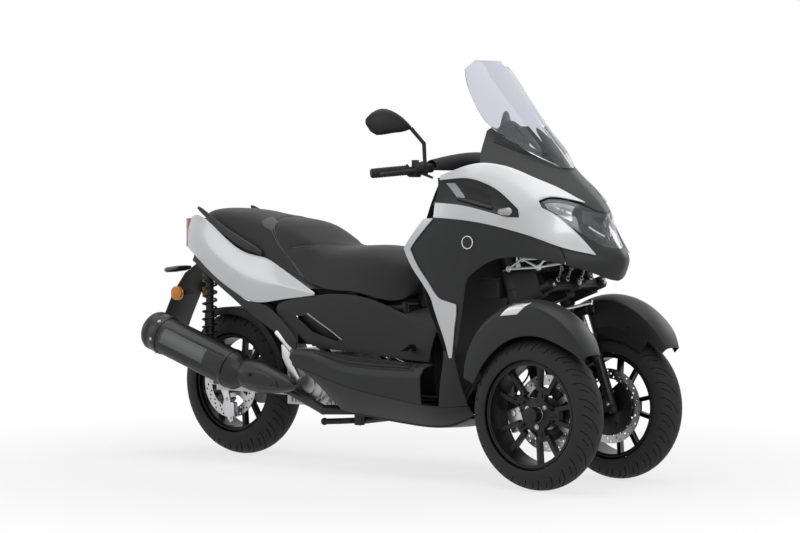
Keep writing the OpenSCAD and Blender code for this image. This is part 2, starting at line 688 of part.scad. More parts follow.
// Steering axes: u runs across the axis towards the front, w along the axis from the ground
module steered(y) {
    translate([front_axle_x + trail, y, 0]) rotate([0, -caster, 0]) children();
}
axle_u = front_tyre_r * sin(caster) - trail * cos(caster);
axle_w = front_tyre_r * cos(caster) + trail * sin(caster);
column_u = -101;
yoke_w = 596;
rod_w = yoke_w + 36;
carrier_w = rod_w + 20;
carrier_h = 140;
leg_top = yoke_w - 76;
arm_u = 150;
arm_inset = 34;
lower_arm_w = carrier_w + arm_inset;
upper_arm_w = carrier_w + carrier_h - arm_inset;
head_low_w = carrier_w + 38;
rod_offset = 10.5;
fender_half = 66;
caliper_v = kingpin_y - track / 2 + disc_seat - disc_t / 2;
fender_reach = track / 2 - kingpin_y - fender_half - seat_gap;
module fork() {
    color(steel) steered(-kingpin_y) {
        for (u = [-1, 1]) translate([axle_u + u * fork_spacing / 2, 0, 0]) {
            translate([0, 0, axle_w - 8]) cylinder(r = fork_leg_r, h = leg_top - axle_w + 8);
            translate([0, 0, leg_top - 4]) cylinder(r = fork_tube_r, h = yoke_w - leg_top + 8);
        }
        // axle clamp that joins the two legs
        translate([axle_u - fork_spacing / 2, -fork_leg_r, axle_w - 24]) cube([fork_spacing,
            2 * fork_leg_r, 48]);
        // lower yoke with the steering arm and the kingpin
        translate([axle_u - fork_spacing / 2 - 22, -fender_reach, yoke_w]) cube([fork_spacing + 44,
            fender_reach + 20, 24]);
        translate([20, -rod_offset - 8, yoke_w]) cube([steer_arm - 20, 22, 24]);
        translate([steer_arm, -rod_offset, yoke_w]) cylinder(r = 9, h = 24);
        translate([steer_arm, -rod_offset, yoke_w]) cylinder(r = 5, h = 50);
        translate([0, 0, yoke_w + 20]) cylinder(r = stem_r, h = carrier_w + carrier_h - yoke_w - 8);
        // caliper that straddles the disc
        translate([axle_u - 150, caliper_v - 22, axle_w - 20]) cube([12, 44, 70]);
        for (v = [-22, 9]) translate([axle_u - 150, caliper_v + v, axle_w - 20]) cube([54, 13, 70]);
        translate([axle_u - 120, caliper_v + 12, axle_w]) cube([86, -caliper_v - 12, 30]);
    }
    // axle that carries the wheel
    color(steel) across(front_axle_x, front_tyre_r, axle_r, -track / 2 - spoke_t / 2 + 2, -kingpin_y);
}
// Front fender. Columns: angle about the axle from straight ahead, radius of the crown, drop of the sides,
// share of the full width
fender_table = [
    [42, 320, 30, 0.6], [50, 338, 48, 0.84], [60, 356, 74, 0.95], [80, 384, 108, 1], [100, 392, 122, 1],
    [125, 374, 116, 1], [145, 340, 88, 1], [158, 314, 58, 0.9],
];
// Ring across it. Columns: share of the half width outwards, share of the drop
fender_ring = [
    [1, -1], [1, -0.5], [0.94, -0.14], [0.6, 0], [0, 0.06], [-0.6, 0], [-0.94, -0.14], [-1, -0.5],
        [-1, -0.94],
];
module fender() {
    color(dark) translate([front_axle_x, -track / 2, front_tyre_r])
        sheet([for (a = steps(42, 158, 15))
            let (r = at(fender_table, a, 1), drop = at(fender_table, a, 2),
                half = fender_half * at(fender_table, a, 3))
            [for (p = fender_ring)
                [cos(a) * (r + p[1] * drop), -p[0] * half, sin(a) * (r + p[1] * drop)]]
            ], panel_t);
}
module tie_rod() {
    pitman = [column_u + steer_arm, kingpin_y - rod_offset, rod_w];
    eye = [steer_arm, -rod_offset, rod_w];
    color(steel) steered(-kingpin_y) difference() {
        union() {
            bar(eye, pitman, 6);
            for (p = [eye, pitman]) translate(p - [0, 0, 8]) cylinder(r = 9, h = 16);
        }
        for (p = [eye, pitman]) translate(p - [0, 0, 20]) cylinder(r = 5 + clearance, h = 40);
    }
}
module lean_linkage() {
    color([0.1, 0.1, 0.1]) {
        // kingpin carriers
        both() steered(-kingpin_y) difference() {
            union() {
                translate([0, 0, carrier_w]) cylinder(r = 26, h = carrier_h);
                translate([0, -18, carrier_w + 8]) cube([arm_u - 22 - seat_gap, 36, carrier_h - 16]);
            }
            translate([0, 0, carrier_w - 1]) cylinder(r = stem_r + clearance, h = carrier_h + 2);
        }
        // lower and upper leaning arms
        for (w = [lower_arm_w, upper_arm_w]) steered(0) {
            translate([arm_u - 14, -kingpin_y - 10, w - 15]) cube([28, 2 * kingpin_y + 20, 30]);
            for (y = [-kingpin_y, 0, kingpin_y]) translate([arm_u - 22, y, w]) rotate([0, 90,
                0]) cylinder(r = 22, h = 44);
        }
    }
}
function head_point(u, w) =
    [front_axle_x + trail + u * cos(caster) - w * sin(caster), 0, u * sin(caster) + w * cos(caster)];
// A stay that ends in a ball just under a panel
stay_r = 8;
function under(p, n) = p - n * (panel_t + 0.8 + stay_r * joint_swell);
module stay(a, p, n) {
    bar(a, under(p, n), stay_r);
    translate(under(p, n)) ball(stay_r * joint_swell);
}
rail_y = 120;
rail_z = 245;
rail_r = 16;
seat_rail_y = 148;
seat_hinge = [930, 610];
stand_pivot = [690, 176];
shock_low = [-58, 378];
shock_high = [-52, 728];
shock_y = 130;
module frame() {
    color([0.12, 0.12, 0.12]) difference() {
        union() {
            // head: housing of the steering column and the beam that carries the leaning arms
            steered(0) {
                translate([column_u, 0, head_low_w]) cylinder(r = 26, h = 300);
                translate([column_u, -24, head_low_w + 10]) cube([arm_u - 22 - seat_gap - column_u, 48, 86]);
                translate([column_u + 120, -24, carrier_w]) cube([arm_u - 22 - seat_gap - column_u - 120,
                    48, 60]);
            }
            // cross tubes: foot of the head, radiator, seat hinge and tail
            across(bx(1302), 566, 17, -70, 70);
            across(bx(1210), 350, 10, -104, 104);
            across(bx(seat_hinge[0]), seat_hinge[1], 8, -seat_rail_y, seat_rail_y);
            across(bx(-128), 797, 11, -104, 104);
            across(bx(1242), 860, 12, -120, 120);
            both() {
                bar([bx(1302), -50, 566], head_point(column_u, head_low_w + 40) - [0, 16, 0], 12);
                // post of the instruments
                bar([bx(1246), -30, 860], [bx(1262), -30, dash_z - 1], 8);
                // hangers of the side panel, of the rear mudguard and of the belly plate
                stay([bx(660), -seat_rail_y, 591], side_point(660, 0.8), [0, -1, 0]);
                bar([bx(-128), -40, 797], [bx(-128), -40, 754.4], 8);
                block([bx(900) - 15, -rail_y - 10, belly_z(900, rail_y) + panel_t + 2],
                    [bx(900) + 15, -rail_y + 10, rail_z]);
                // down tube, floor rail and seat rail
                tube_path([[bx(1302), -66, 566], [bx(1252), -90, 420], [bx(1150), -rail_y, rail_z],
                    [bx(640), -rail_y, rail_z], [bx(556), -seat_rail_y - 4, 430],
                        [bx(312), -seat_rail_y, 566],
                    [bx(-128), -105, 800]], rail_r - 2);
                bar([bx(seat_hinge[0]), -rail_y, rail_z], [bx(seat_hinge[0]), -seat_rail_y,
                    seat_hinge[1] + 9], 12);
                bar([bx(seat_hinge[0]), -seat_rail_y, seat_hinge[1] - 10], [bx(312), -seat_rail_y, 566], 11);
                // lugs of the stand and of the shock absorber
                block([bx(stand_pivot[0]) - 15, -rail_y - 12, stand_pivot[1] - 16],
                    [bx(stand_pivot[0]) + 15, -rail_y + 10, rail_z]);
                across(bx(stand_pivot[0]), stand_pivot[1], 8, -rail_y, -84);
                // stay of the fairing
                stay([bx(1242), -112, 860], bow(58, 850), bow_normal(58, 850));
                across(bx(shock_high[0]), shock_high[1], 15, -shock_y + 14.3, -96);
                bar([bx(shock_high[0]), -101, shock_high[1] + 4], [bx(-52), -105, 762], 10);
            }
        }
        steered(0) translate([column_u, 0, head_low_w - 10]) cylinder(r = stem_r + clearance, h = 320);
    }
}
module engine() {
    color([0.55, 0.56, 0.57]) {
        block([bx(312), -95, 215], [bx(612), 95, 420]);
        block([bx(600), -70, 262], [bx(762), 70, 380]);
        across(bx(470), 300, 84, -140, -90);
        // pivot between the floor rails
        block([bx(600), -60, 236], [bx(640), 60, 264]);
        across(bx(636), rail_z + 4, 16, -rail_y + rail_r - 1, rail_y - rail_r + 1);
        // belt drive on the left
        across(bx(482), 300, 104, 90, 186);
        across(rear_axle_x, rear_tyre_r, 90, 96, 186);
        block([rear_axle_x, 96, rear_tyre_r - 70], [bx(482), 180, rear_tyre_r + 70]);
        block([rear_axle_x + shock_low[0] - 14, 97, rear_tyre_r],
            [rear_axle_x + shock_low[0] + 14, shock_y - 14.3, shock_low[1] + 12]);
    }
}
module rear_arm() {
    color(steel) {
        block([rear_axle_x - 24, -126, rear_tyre_r - 24], [bx(340), -98, rear_tyre_r + 24]);
        block([rear_axle_x + shock_low[0] - 14, -shock_y + 14.3, rear_tyre_r],
            [rear_axle_x + shock_low[0] + 50, -98, shock_low[1] + 12]);
        block([bx(300), -126, rear_tyre_r - 24], [bx(340), -95 - seat_gap, rear_tyre_r + 24]);
        across(rear_axle_x, rear_tyre_r, axle_r, -126, 96 - seat_gap);
    }
}
module rear_shocks() {
    low = [rear_axle_x + shock_low[0], -shock_y, shock_low[1]];
    high = [bx(shock_high[0]), -shock_y, shock_high[1]];
    color(black) both() {
        across(low[0], low[2], 13, -shock_y - 14, -shock_y + 14);
        across(high[0], high[2], 13, -shock_y - 14, -shock_y + 14);
        bar(low, high, 12);
        bar(lerp(low, high, 0.12), lerp(low, high, 0.48), 19);
        for (k = [0:7]) bar(lerp(low, high, 0.2 + k * 0.092), lerp(low, high, 0.236 + k * 0.092), spring_r);
    }
}
muffler_front = [rear_axle_x + 192, -166 - muffler_r, 338];
muffler_tilt = 17.8;
muffler_length = 446;
muffler_way = [-cos(muffler_tilt), 0, sin(muffler_tilt)];
pipe_r = 18;
module muffler_axis() {
    translate(muffler_front) rotate([0, muffler_tilt - 90, 0]) children();
}
module exhaust() {
    cone = 60;
    pod_arm = pod_point(0.5, 18);
    arm_z = at(pod_table, 0.5, 2);
    color([0.22, 0.22, 0.23]) {
        difference() {
            muffler_axis() {
                cylinder(r = muffler_r, h = muffler_length);
                translate([0, 0, -cone]) cylinder(r1 = pipe_r + 6, r2 = muffler_r, h = cone);
                translate([0, 0, muffler_length]) cylinder(r1 = muffler_r, r2 = muffler_r - 12, h = 14);
                translate([0, 0, muffler_length]) cylinder(r = outlet_r + 4, h = 26);
                // bands of the end cap
                for (h = [muffler_length - 62, muffler_length - 12])
                    translate([0, 0, h]) cylinder(r = muffler_r + 2, h = 8);
            }
            muffler_axis() translate([0, 0, muffler_length - 60]) cylinder(r = outlet_r, h = 100);
        }
        // sleeve that takes the front pipe
        muffler_axis() translate([0, 0, -cone - 25]) cylinder(r = pipe_r + 3, h = 40);
        tube_path([muffler_front - (cone + 25) * muffler_way, [bx(400), -176, 275], [bx(560), -172, 212],
            [bx(720), -40, 212], [bx(720), -40, 262 - seat_gap]], pipe_r);
        // hanger to the rear arm
        block([rear_axle_x + 20, -180, 280], [rear_axle_x + 60, -126 - seat_gap, 300]);
        block([rear_axle_x + 20, -190, 280], [rear_axle_x + 60, -172, 380]);
        // arm that carries the front cover
        block([bx(pod_arm[0]) - 5, pod_arm[1] + pod_t + 1.2, arm_z - 6],
            [bx(pod_arm[0]) + 5, -190, arm_z + 6]);
        block([bx(pod_arm[0]) - 5, -208, 286], [bx(pod_arm[0]) + 5, -190, arm_z + 6]);
    }
}
// Pointed cover over the front pipe, open towards the middle. Columns: share of its length, ahead of the
// rear axle, middle height, reach outwards, half height
pod_t = 3;
pod_y = -216;
pod_table = [[0, 232, 332, 72, 60], [0.3, 300, 324, 64, 62], [0.6, 372, 312, 52, 48],
    [0.85, 436, 302, 38, 28],
    [1, 474, 297, 24, 10]];
function pod_point(t, a) =
    [at(pod_table, t, 1), pod_y - at(pod_table, t, 3) * cos(a), at(pod_table, t, 2) + at(pod_table, t,
        4) * sin(a)];
module muffler_cover() {
    color([0.3, 0.3, 0.31]) {
        // heat shield along the outer side
        muffler_axis() translate([0, 0, 20]) linear_extrude(height = muffler_length - 110) difference() {
            intersection() {
                circle(r = muffler_r + 7);
                translate([-10, -muffler_r - 20]) square([60, muffler_r - 10]);
            }
            circle(r = muffler_r + seat_gap);
        }
        sheet([for (t = steps(1, 0, 8)) [for (a = [-80, -50, -18, 18, 50, 80])
            let (q = pod_point(t, a)) [bx(q[0]), q[1], q[2]]]], pod_t);
    }
}
module radiator() {
    color([0.2, 0.2, 0.2]) block([bx(1210) + 10 + seat_gap, -72, 285], [bx(1210) + 45, 72, 412]);
}
module fuel_tank() {
    x0 = bx(seat_hinge[0]) + 12 + seat_gap;
    color(black) {
        block([x0, -124, 290], [bx(1050), 124, 525]);
        translate([bx(1004), 0, 520]) cylinder(r = 30, h = 48);
    }
}
module brake_pedal() {
    color(black) {
        translate([bx(1010), -272, 452]) rotate([0, -28, 0]) cube([42, 40, 9]);
        block([bx(1010), -240, 452], [bx(1010) + 24, side_point(1010, 0.34)[1] - 4, 470]);
    }
}

// Handlebar, drawn on the right: the tube's corners ahead of the rear axle
bar_points = [[1142, 0, 1106], [1122, -130, 1124], [1062, -250, 1098], [975, -bar_reach, 1084]];
stem_top_w = (bar_points[0][2] - column_u * sin(caster)) / cos(caster) - 18;
function bar_point(i) = [bx(bar_points[i][0]), bar_points[i][1], bar_points[i][2]];
grip_start = lerp(bar_point(2), bar_point(3), 0.17);
module handlebar() {
    color(black) {
        steered(0) {
            translate([column_u, 0, yoke_w + 10]) cylinder(r = stem_r, h = stem_top_w - yoke_w - 10);
            translate([column_u - 18, -34, yoke_w + 10]) cube([steer_arm + 32, 68, 14]);
            for (v = [-1, 1]) translate([column_u + steer_arm, v * rod_offset,
                yoke_w + 10]) cylinder(r = 5, h = 40);
        }
        both() tube_path([for (i = [0:3]) bar_point(i)], bar_r);
        translate(bar_point(0)) rotate([0, -caster, 0]) cylinder(r = 24, h = 56, center = true);
        translate([bx(1138), 0, 1110]) cylinder(r = 4, h = 45);
    }
}
module grips() {
    color([0.1, 0.1, 0.1]) both() difference() {
        bar(grip_start, bar_point(3), grip_r);
        bar(lerp(bar_point(2), bar_point(3), -0.1), lerp(bar_point(2), bar_point(3), 1.2), bar_r + 0.1);
    }
}
module brake_levers() {
    ahead_of_bar = [bar_point(2)[1] - bar_point(3)[1], bar_point(3)[0] - bar_point(2)[0], 0];
    n = ahead_of_bar / norm(ahead_of_bar);
    perch_r = 10;
    // a perch that lies along the front of the bar
    perch = function(t) lerp(bar_point(2), bar_point(3), t) + n * (bar_r + perch_r + 0.6);
    pivot = perch(0.06) + n * 20 - [0, 0, 2];
    tip = lerp(bar_point(2), bar_point(3), 0.86) + n * 44 - [0, 0, 6];
    color([0.2, 0.2, 0.2]) both() {
        bar(perch(0.03), perch(0.16), perch_r);
        bar(perch(0.08), pivot, 9);
        bar(pivot, tip, 7);
        translate(tip) ball(8);
        // fluid reservoir
        translate(perch(0.06) + n * 6) cylinder(r = 13, h = 34);
    }
}
// Mirror: a leaf from its neck out to its tip. Columns: share of its width, ahead of the rear axle, height,
// half thickness, half height
mirror_neck = 264;
mirror_table = [[0, 1048, 1246, 7, 7], [0.18, 1038, 1254, 14, 24], [0.4, 1020, 1264, 19, 38],
    [0.62, 1000, 1266, 20, 46],
    [0.82, 984, 1262, 17, 42], [0.95, 972, 1264, 10, 24], [1, 968, 1266, 5, 12]];
module mirrors() {
    foot = lerp(bar_point(1), bar_point(2), 0.73);
    neck = [bx(mirror_table[0][1]), -mirror_neck, mirror_table[0][2]];
    color(dark) both() {
        skin([for (t = steps(0, 1, 9)) [for (a = [0:30:330])
            [bx(at(mirror_table, t, 1)) + at(mirror_table, t, 3) * cos(a), -lerp(mirror_neck,
                mirror_reach, t),
                at(mirror_table, t, 2) + at(mirror_table, t, 4) * sin(a)]]]);
        tube_path([foot + [0, 0, bar_r + 1.9], foot + [-2, -3, 84], neck + [2, 3, -3]], 7);
    }
}
// Cover over the middle of the handlebar, open below
module bar_cover() {
    color(dark) sheet([for (t = steps(1, -1, 8))
        let (w = 1 - 0.45 * t * t, x = 1138 - 46 * t * t)
        [for (a = steps(-25, 205, 10))
            [bx(x) + 46 * w * cos(a), t * 200, 1112 - 6 * t * t + 48 * w * sin(a)]]], panel_t);
}
module center_stand() {
    x = bx(stand_pivot[0]);
    z = stand_pivot[1];
    color(black) difference() {
        union() {
            across(x, z, 14, -102, 102);
            both() {
                tube_path([[x, -92, z], [x - 100, -116, z - 8], [x - 160, -132, z - 12]], 11);
                translate([x - 160, -132, z - 12]) ball(14);
            }
        }
        both() across(x, z, 8 + clearance, -120, -83);
    }
}

frame();
lean_linkage();
engine();
rear_arm();
exhaust();
muffler_cover();
rear_shocks();
radiator();
fuel_tank();
storage_tub();
side_panels();
tunnel_cover();
fuel_lid();
footboards();
floor_pan();
tail_panels();
tail_trims();
tail_lamp();
grab_rails();
mudguards();
rear_indicators();
reflectors();
silver_fairings();
side_fairings();
nose_chin();
upper_cowl();
front_indicators();
headlamp_lens();
headlamp_housing();
screen();
screen_brackets();
leg_shield();
dash_hood();
brake_pedal();
handlebar();
grips();
brake_levers();
mirrors();
bar_cover();
seat();
fork();  // fork_right
mirror([0, 1, 0]) fork();  // fork_left
fender();  // fender_right
mirror([0, 1, 0]) fender();  // fender_left
tie_rod();  // tie_rod_right
mirror([0, 1, 0]) tie_rod();  // tie_rod_left
front_wheel(-1) tyre(front_tyre_r, front_tyre_w);  // tyre_front_right
front_wheel(-1) front_rim();  // rim_front_right
front_wheel(-1) disc(-disc_seat);  // disc_front_right
front_wheel(1) tyre(front_tyre_r, front_tyre_w);  // tyre_front_left
front_wheel(1) front_rim();  // rim_front_left
front_wheel(1) disc(-disc_seat);  // disc_front_left
rear_wheel() tyre(rear_tyre_r, rear_tyre_w);  // tyre_rear
rear_wheel() rear_rim();  // rim_rear
rear_wheel() disc(rear_disc_seat);  // disc_rear
center_stand();
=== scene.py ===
"""Dresses the leaning three-wheeled scooter: smooth panels, wheels, lamps, seat, finishes and a white studio."""

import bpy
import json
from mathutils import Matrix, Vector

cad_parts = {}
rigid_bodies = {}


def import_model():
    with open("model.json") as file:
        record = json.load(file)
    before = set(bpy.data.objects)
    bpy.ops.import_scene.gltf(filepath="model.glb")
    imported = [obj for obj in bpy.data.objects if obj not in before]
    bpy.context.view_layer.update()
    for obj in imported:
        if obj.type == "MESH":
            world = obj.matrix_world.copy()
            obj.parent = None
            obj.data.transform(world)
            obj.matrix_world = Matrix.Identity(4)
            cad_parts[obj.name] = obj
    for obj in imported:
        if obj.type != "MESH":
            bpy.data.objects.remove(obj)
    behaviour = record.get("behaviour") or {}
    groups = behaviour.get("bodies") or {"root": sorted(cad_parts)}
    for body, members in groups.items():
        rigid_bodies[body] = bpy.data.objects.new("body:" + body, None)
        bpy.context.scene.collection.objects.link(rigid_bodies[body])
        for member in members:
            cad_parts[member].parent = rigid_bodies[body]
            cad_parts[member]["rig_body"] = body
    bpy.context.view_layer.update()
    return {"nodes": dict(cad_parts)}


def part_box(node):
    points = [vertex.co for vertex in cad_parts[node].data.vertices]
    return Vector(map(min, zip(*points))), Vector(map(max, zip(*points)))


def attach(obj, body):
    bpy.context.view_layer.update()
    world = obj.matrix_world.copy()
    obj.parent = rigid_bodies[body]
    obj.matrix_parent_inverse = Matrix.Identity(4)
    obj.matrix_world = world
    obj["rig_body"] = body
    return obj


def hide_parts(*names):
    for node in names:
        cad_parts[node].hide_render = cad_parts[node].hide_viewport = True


bl_info = {
    "name": "Leaning Scooter Dresser",
    "version": (1, 0, 0),
    "blender": (4, 5, 0),
    "location": "View3D > Sidebar > Scooter",
    "description": "Models the looks of a leaning three-wheeled scooter around its CAD frame",
    "category": "Object",
}

import json
import math

import bpy
from bpy.props import FloatProperty, FloatVectorProperty, IntProperty, PointerProperty
from mathutils import Matrix, Vector

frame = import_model()

MM = 0.001
RIGHT, LEFT = -1, 1
SIDES = {"right": RIGHT, "left": LEFT}
# Points this near each other, in metres, are one: in a new piece, and in a mesh that comes from the CAD
TOUCHING, CAD_TOUCHING = 1e-5, 2e-5
# The studio: what the camera looks at, its sensor in millimetres, how far it sees, and the floor's side
CAMERA_TARGET = Vector((50.06, 0, 739.0)) * MM
SENSOR_WIDTH, VIEW_END, FLOOR_SIZE = 36, 200, 60


def middle(node):
    """Middle of a CAD node's box."""
    low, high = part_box(node)
    return (low + high) / 2


FRONT_AXLE = middle("tyre_front_right")
REAR_AXLE = middle("tyre_rear")


def ahead(distance, y, z):
    """A place so many millimetres ahead of the rear axle, across and up."""
    return Vector((REAR_AXLE.x + distance * MM, y * MM, z * MM))


def colour_setting(name, description, default):
    """A colour that can be set."""
    return FloatVectorProperty(name=name, description=description, subtype="COLOR", default=default, min=0, max=1)


def length_setting(name, description, default, low, high):
    """A length that can be set, given here in millimetres."""
    return FloatProperty(name=name, description=description, subtype="DISTANCE", unit="LENGTH",
                         default=default * MM, min=low * MM, max=high * MM)


def power_setting(name, description, default):
    """The power of a lamp, in watts."""
    return FloatProperty(name=name, description=description, subtype="POWER", unit="POWER", default=default, min=0)


def angle_setting(name, description, default, low=-math.tau, high=math.tau):
    """An angle that can be set, in radians."""
    return FloatProperty(name=name, description=description, subtype="ANGLE", default=default, min=low, max=high)


class PaintSettings(bpy.types.PropertyGroup):
    """Colours of the main finishes."""

    silver: colour_setting("Silver", "Paint of the upper fairing and tail", (0.56, 0.58, 0.59))
    graphite: colour_setting("Graphite", "Satin paint of the lower fairing and fenders", (0.026, 0.0265, 0.027))
    moulding: colour_setting("Moulding", "Grained plastic of the inner panels", (0.013, 0.013, 0.0135))
    vinyl: colour_setting("Vinyl", "Cover of the seat", (0.017, 0.017, 0.0175))


class TreadSettings(bpy.types.PropertyGroup):
    """Pattern of the road tread."""

    pitches: IntProperty(
        name="Pitches", description="Grooves on each half of a tyre", default=26, min=12, max=40)
    columns: IntProperty(
        name="Columns", description="Columns of faces in one pitch", default=12, min=8, max=24)
    depth: length_setting("Depth", "Depth of a groove", 4.5, 1, 8)
    sweep: angle_setting("Sweep", "Angle that a groove turns round the axle", 0.30, 0, 0.6)


class SeatSettings(bpy.types.PropertyGroup):
    """Seams of the seat."""

    seam_depth: length_setting("Seam depth", "How far a seam pulls in", 4, 0, 10)
    seam_width: length_setting("Seam width", "Half the width of the valley of a seam", 9, 3, 20)


class StageSettings(bpy.types.PropertyGroup):
    """Camera and light."""

    azimuth: angle_setting("Azimuth", "Side that the camera looks from", math.radians(39.83))
    elevation: angle_setting("Elevation", "Height that the camera looks from", math.radians(2.45))
    distance: FloatProperty(name="Distance", description="Distance of the camera", subtype="DISTANCE",
                            unit="LENGTH", default=10.593, min=1)
    lens: FloatProperty(name="Lens", description="Focal length in millimetres", default=130.17, min=20)
    key: power_setting("Key", "Power of the overhead light", 105)
    fill: power_setting("Fill", "Power of each side light", 62)
    ambient: FloatProperty(name="Ambient", description="Strength of the light from all round", default=0.22,
                           min=0, max=2)


# Modelling by hand: selection, primitives and modifiers


def rest():
    """Leaves edit mode with nothing selected."""
    active = bpy.context.view_layer.objects.active
    if active and active.mode != "OBJECT":
        bpy.ops.object.mode_set(mode="OBJECT")
    bpy.ops.object.select_all(action="DESELECT")


def take(piece):
    """Makes one piece the selected and active one."""
    rest()
    piece.select_set(True)
    bpy.context.view_layer.objects.active = piece
    return piece


def edit(piece):
    """Opens a piece in edit mode with all of it selected."""
    take(piece)
    bpy.ops.object.mode_set(mode="EDIT")
    bpy.ops.mesh.select_all(action="SELECT")


def settle(name):
    """Names the piece just added and puts its place into its mesh."""
    piece = bpy.context.object
    piece.name = name
    piece.data.name = name
    bpy.ops.object.transform_apply(location=True, rotation=True, scale=True)
    return piece


def modify(piece, kind, **settings):
    """Adds a modifier and applies it."""
    take(piece)
    bpy.ops.object.modifier_add(type=kind)
    modifier = piece.modifiers[-1]
    for key, value in settings.items():
        setattr(modifier, key, value)
    bpy.ops.object.modifier_apply(modifier=modifier.name)
    return piece


def smooth(piece, angle=35):
    """Smooth shading with sharp edges past an angle in degrees."""
    take(piece)
    bpy.ops.object.shade_smooth_by_angle(angle=math.radians(angle))
    return piece


def bevel(piece, width, angle=40, segments=2):
    """Rounds the sharp edges."""
    return modify(piece, "BEVEL", width=width * MM, segments=segments, limit_method="ANGLE",
                  angle_limit=math.radians(angle), use_clamp_overlap=True)


def carve(piece, cutter):
    """Cuts one piece out of another and throws the cutter away."""
    modify(piece, "BOOLEAN", operation="DIFFERENCE", object=cutter, solver="EXACT")
    bpy.data.objects.remove(cutter)
    return piece


def flipped(piece):
    """Takes a right-hand piece over to the left."""
    edit(piece)
    bpy.ops.transform.resize(value=(1, -1, 1), center_override=(0, 0, 0))
    bpy.ops.mesh.flip_normals()
    rest()
    return piece


def turned_over(piece, name):
    """A left-hand copy of a right-hand piece, as a piece of its own."""
    twin = bpy.data.objects.new(name, piece.data.copy())
    bpy.context.collection.objects.link(twin)
    return flipped(twin)


def joined(pieces, name):
    """Joins pieces into one."""
    rest()
    for piece in pieces:
        piece.select_set(True)
    bpy.context.view_layer.objects.active = pieces[0]
    if len(pieces) > 1:
        bpy.ops.object.join()
    piece = bpy.context.object
    piece.name = name
    piece.data.name = name
    return piece


def body_of(node):
    """The body that a CAD node belongs to."""
    return frame["nodes"][node]["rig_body"]


def add(name, pieces, finish, slot, body="chassis", both=False, replaced=()):
    """Joins pieces into one that rides on a body, with its left-hand half if both sides have it."""
    piece = joined(pieces, name)
    if both:
        modify(piece, "MIRROR", use_axis=(False, True, False), use_mirror_merge=False)
    piece.data.materials.clear()
    piece.data.materials.append(getattr(palette(), finish))
    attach(piece, body)
    if replaced:
        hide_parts(*replaced)
    return piece


def pointing(direction):
    """Turn that lays the Z axis along a direction."""
    return Vector(direction).to_track_quat("Z", "Y").to_euler()


def rod(name, start, end, radius, sides=20, end_radius=None, round_mm=0.0):
    """A round bar or cone from point to point, with rounded ends."""
    rest()
    start, end = Vector(start), Vector(end)
    way = end - start
    bpy.ops.mesh.primitive_cone_add(
        vertices=sides, radius1=radius * MM, radius2=(radius if end_radius is None else end_radius) * MM,
        depth=way.length, location=(start + end) / 2, rotation=pointing(way))
    piece = settle(name)
    return bevel(piece, round_mm, angle=50) if round_mm else piece


def block(name, low, high, round_mm=2.0):
    """A box between two corners with rounded edges."""
    rest()
    low, high = Vector(low), Vector(high)
    bpy.ops.mesh.primitive_cube_add(size=1, location=(low + high) / 2)
    bpy.context.object.scale = high - low
    piece = settle(name)
    return bevel(piece, round_mm) if round_mm else piece


def cleaned():
    """Merges what lies together in the piece under edit, turns its faces outwards and leaves it."""
    bpy.ops.mesh.select_all(action="SELECT")
    bpy.ops.mesh.remove_doubles(threshold=TOUCHING)
    bpy.ops.mesh.normals_make_consistent(inside=False)
    bpy.ops.mesh.select_all(action="DESELECT")
    rest()


def lathe(name, spots, axis, steps):
    """A line of spots spun round an axis through the origin."""
    rest()
    bpy.ops.mesh.primitive_plane_add(size=1)
    piece = settle(name)
    edit(piece)
    bpy.ops.mesh.merge(type="CENTER")
    bpy.ops.transform.translate(value=spots[0])
    for a, b in zip(spots, spots[1:]):
        bpy.ops.mesh.extrude_region_move(TRANSFORM_OT_translate={"value": b - a})
    bpy.ops.mesh.select_all(action="SELECT")
    bpy.ops.mesh.spin(steps=steps, angle=math.tau, center=(0, 0, 0), axis=axis)
    cleaned()
    return piece


def turned(name, profile, centre, axis, steps=48):
    """A lathe piece: the profile's points are radius and height along the axis, in millimetres."""
    piece = lathe(name, [Vector((radius, 0, height)) * MM for radius, height in profile], (0, 0, 1), steps)
    piece.data.transform(Matrix.Translation(Vector(centre)) @ pointing(axis).to_matrix().to_4x4())
    return smooth(piece)


def plate(name, outline, depth, place, round_mm=1.0):
    """A flat piece cut to an outline in X and Y, raised by depth along Z, then placed by a matrix."""
    rest()
    bpy.ops.mesh.primitive_circle_add(vertices=len(outline), fill_type="NGON")
    piece = settle(name)
    for vertex, point in zip(piece.data.vertices, outline):
        vertex.co = (point[0] * MM, point[1] * MM, 0)
    edit(piece)
    bpy.ops.mesh.extrude_region_move(TRANSFORM_OT_translate={"value": (0, 0, depth * MM)})
    bpy.ops.mesh.select_all(action="SELECT")
    bpy.ops.mesh.normals_make_consistent(inside=False)
    rest()
    bevel(piece, round_mm)
    piece.data.transform(place)
    if place.determinant() < 0:
        piece.data.flip_normals()
    return smooth(piece)


def upright(x, y, z, side=RIGHT):
    """Matrix that stands a flat piece up along the scooter, facing out to one side."""
    return Matrix(((1, 0, 0, x), (0, 0, side, y), (0, 1, 0, z), (0, 0, 0, 1)))


def tube(name, points, radius, sides=3):
    """A smooth tube along points, such as a pipe, a light guide or a thread."""
    rest()
    bpy.ops.curve.primitive_nurbs_path_add()
    curve = bpy.context.object.data
    curve.splines.clear()
    spline = curve.splines.new("NURBS")
    spline.points.add(len(points) - 1)
    for spot, point in zip(spline.points, points):
        spot.co = (*point, 1)
    spline.use_endpoint_u = True
    spline.order_u = min(3, len(points))
    curve.bevel_depth = radius * MM
    curve.bevel_resolution = sides
    curve.resolution_u = 8
    curve.use_fill_caps = True
    bpy.ops.object.convert(target="MESH")
    return smooth(settle(name), 50)


# The steering head: its lean, its foot ahead of the axle, the forks' axes and both arms' heights, in millimetres
CASTER = math.radians(20)
TRAIL = 68
FORK_V = 146
ARMS_W = (686, 758)


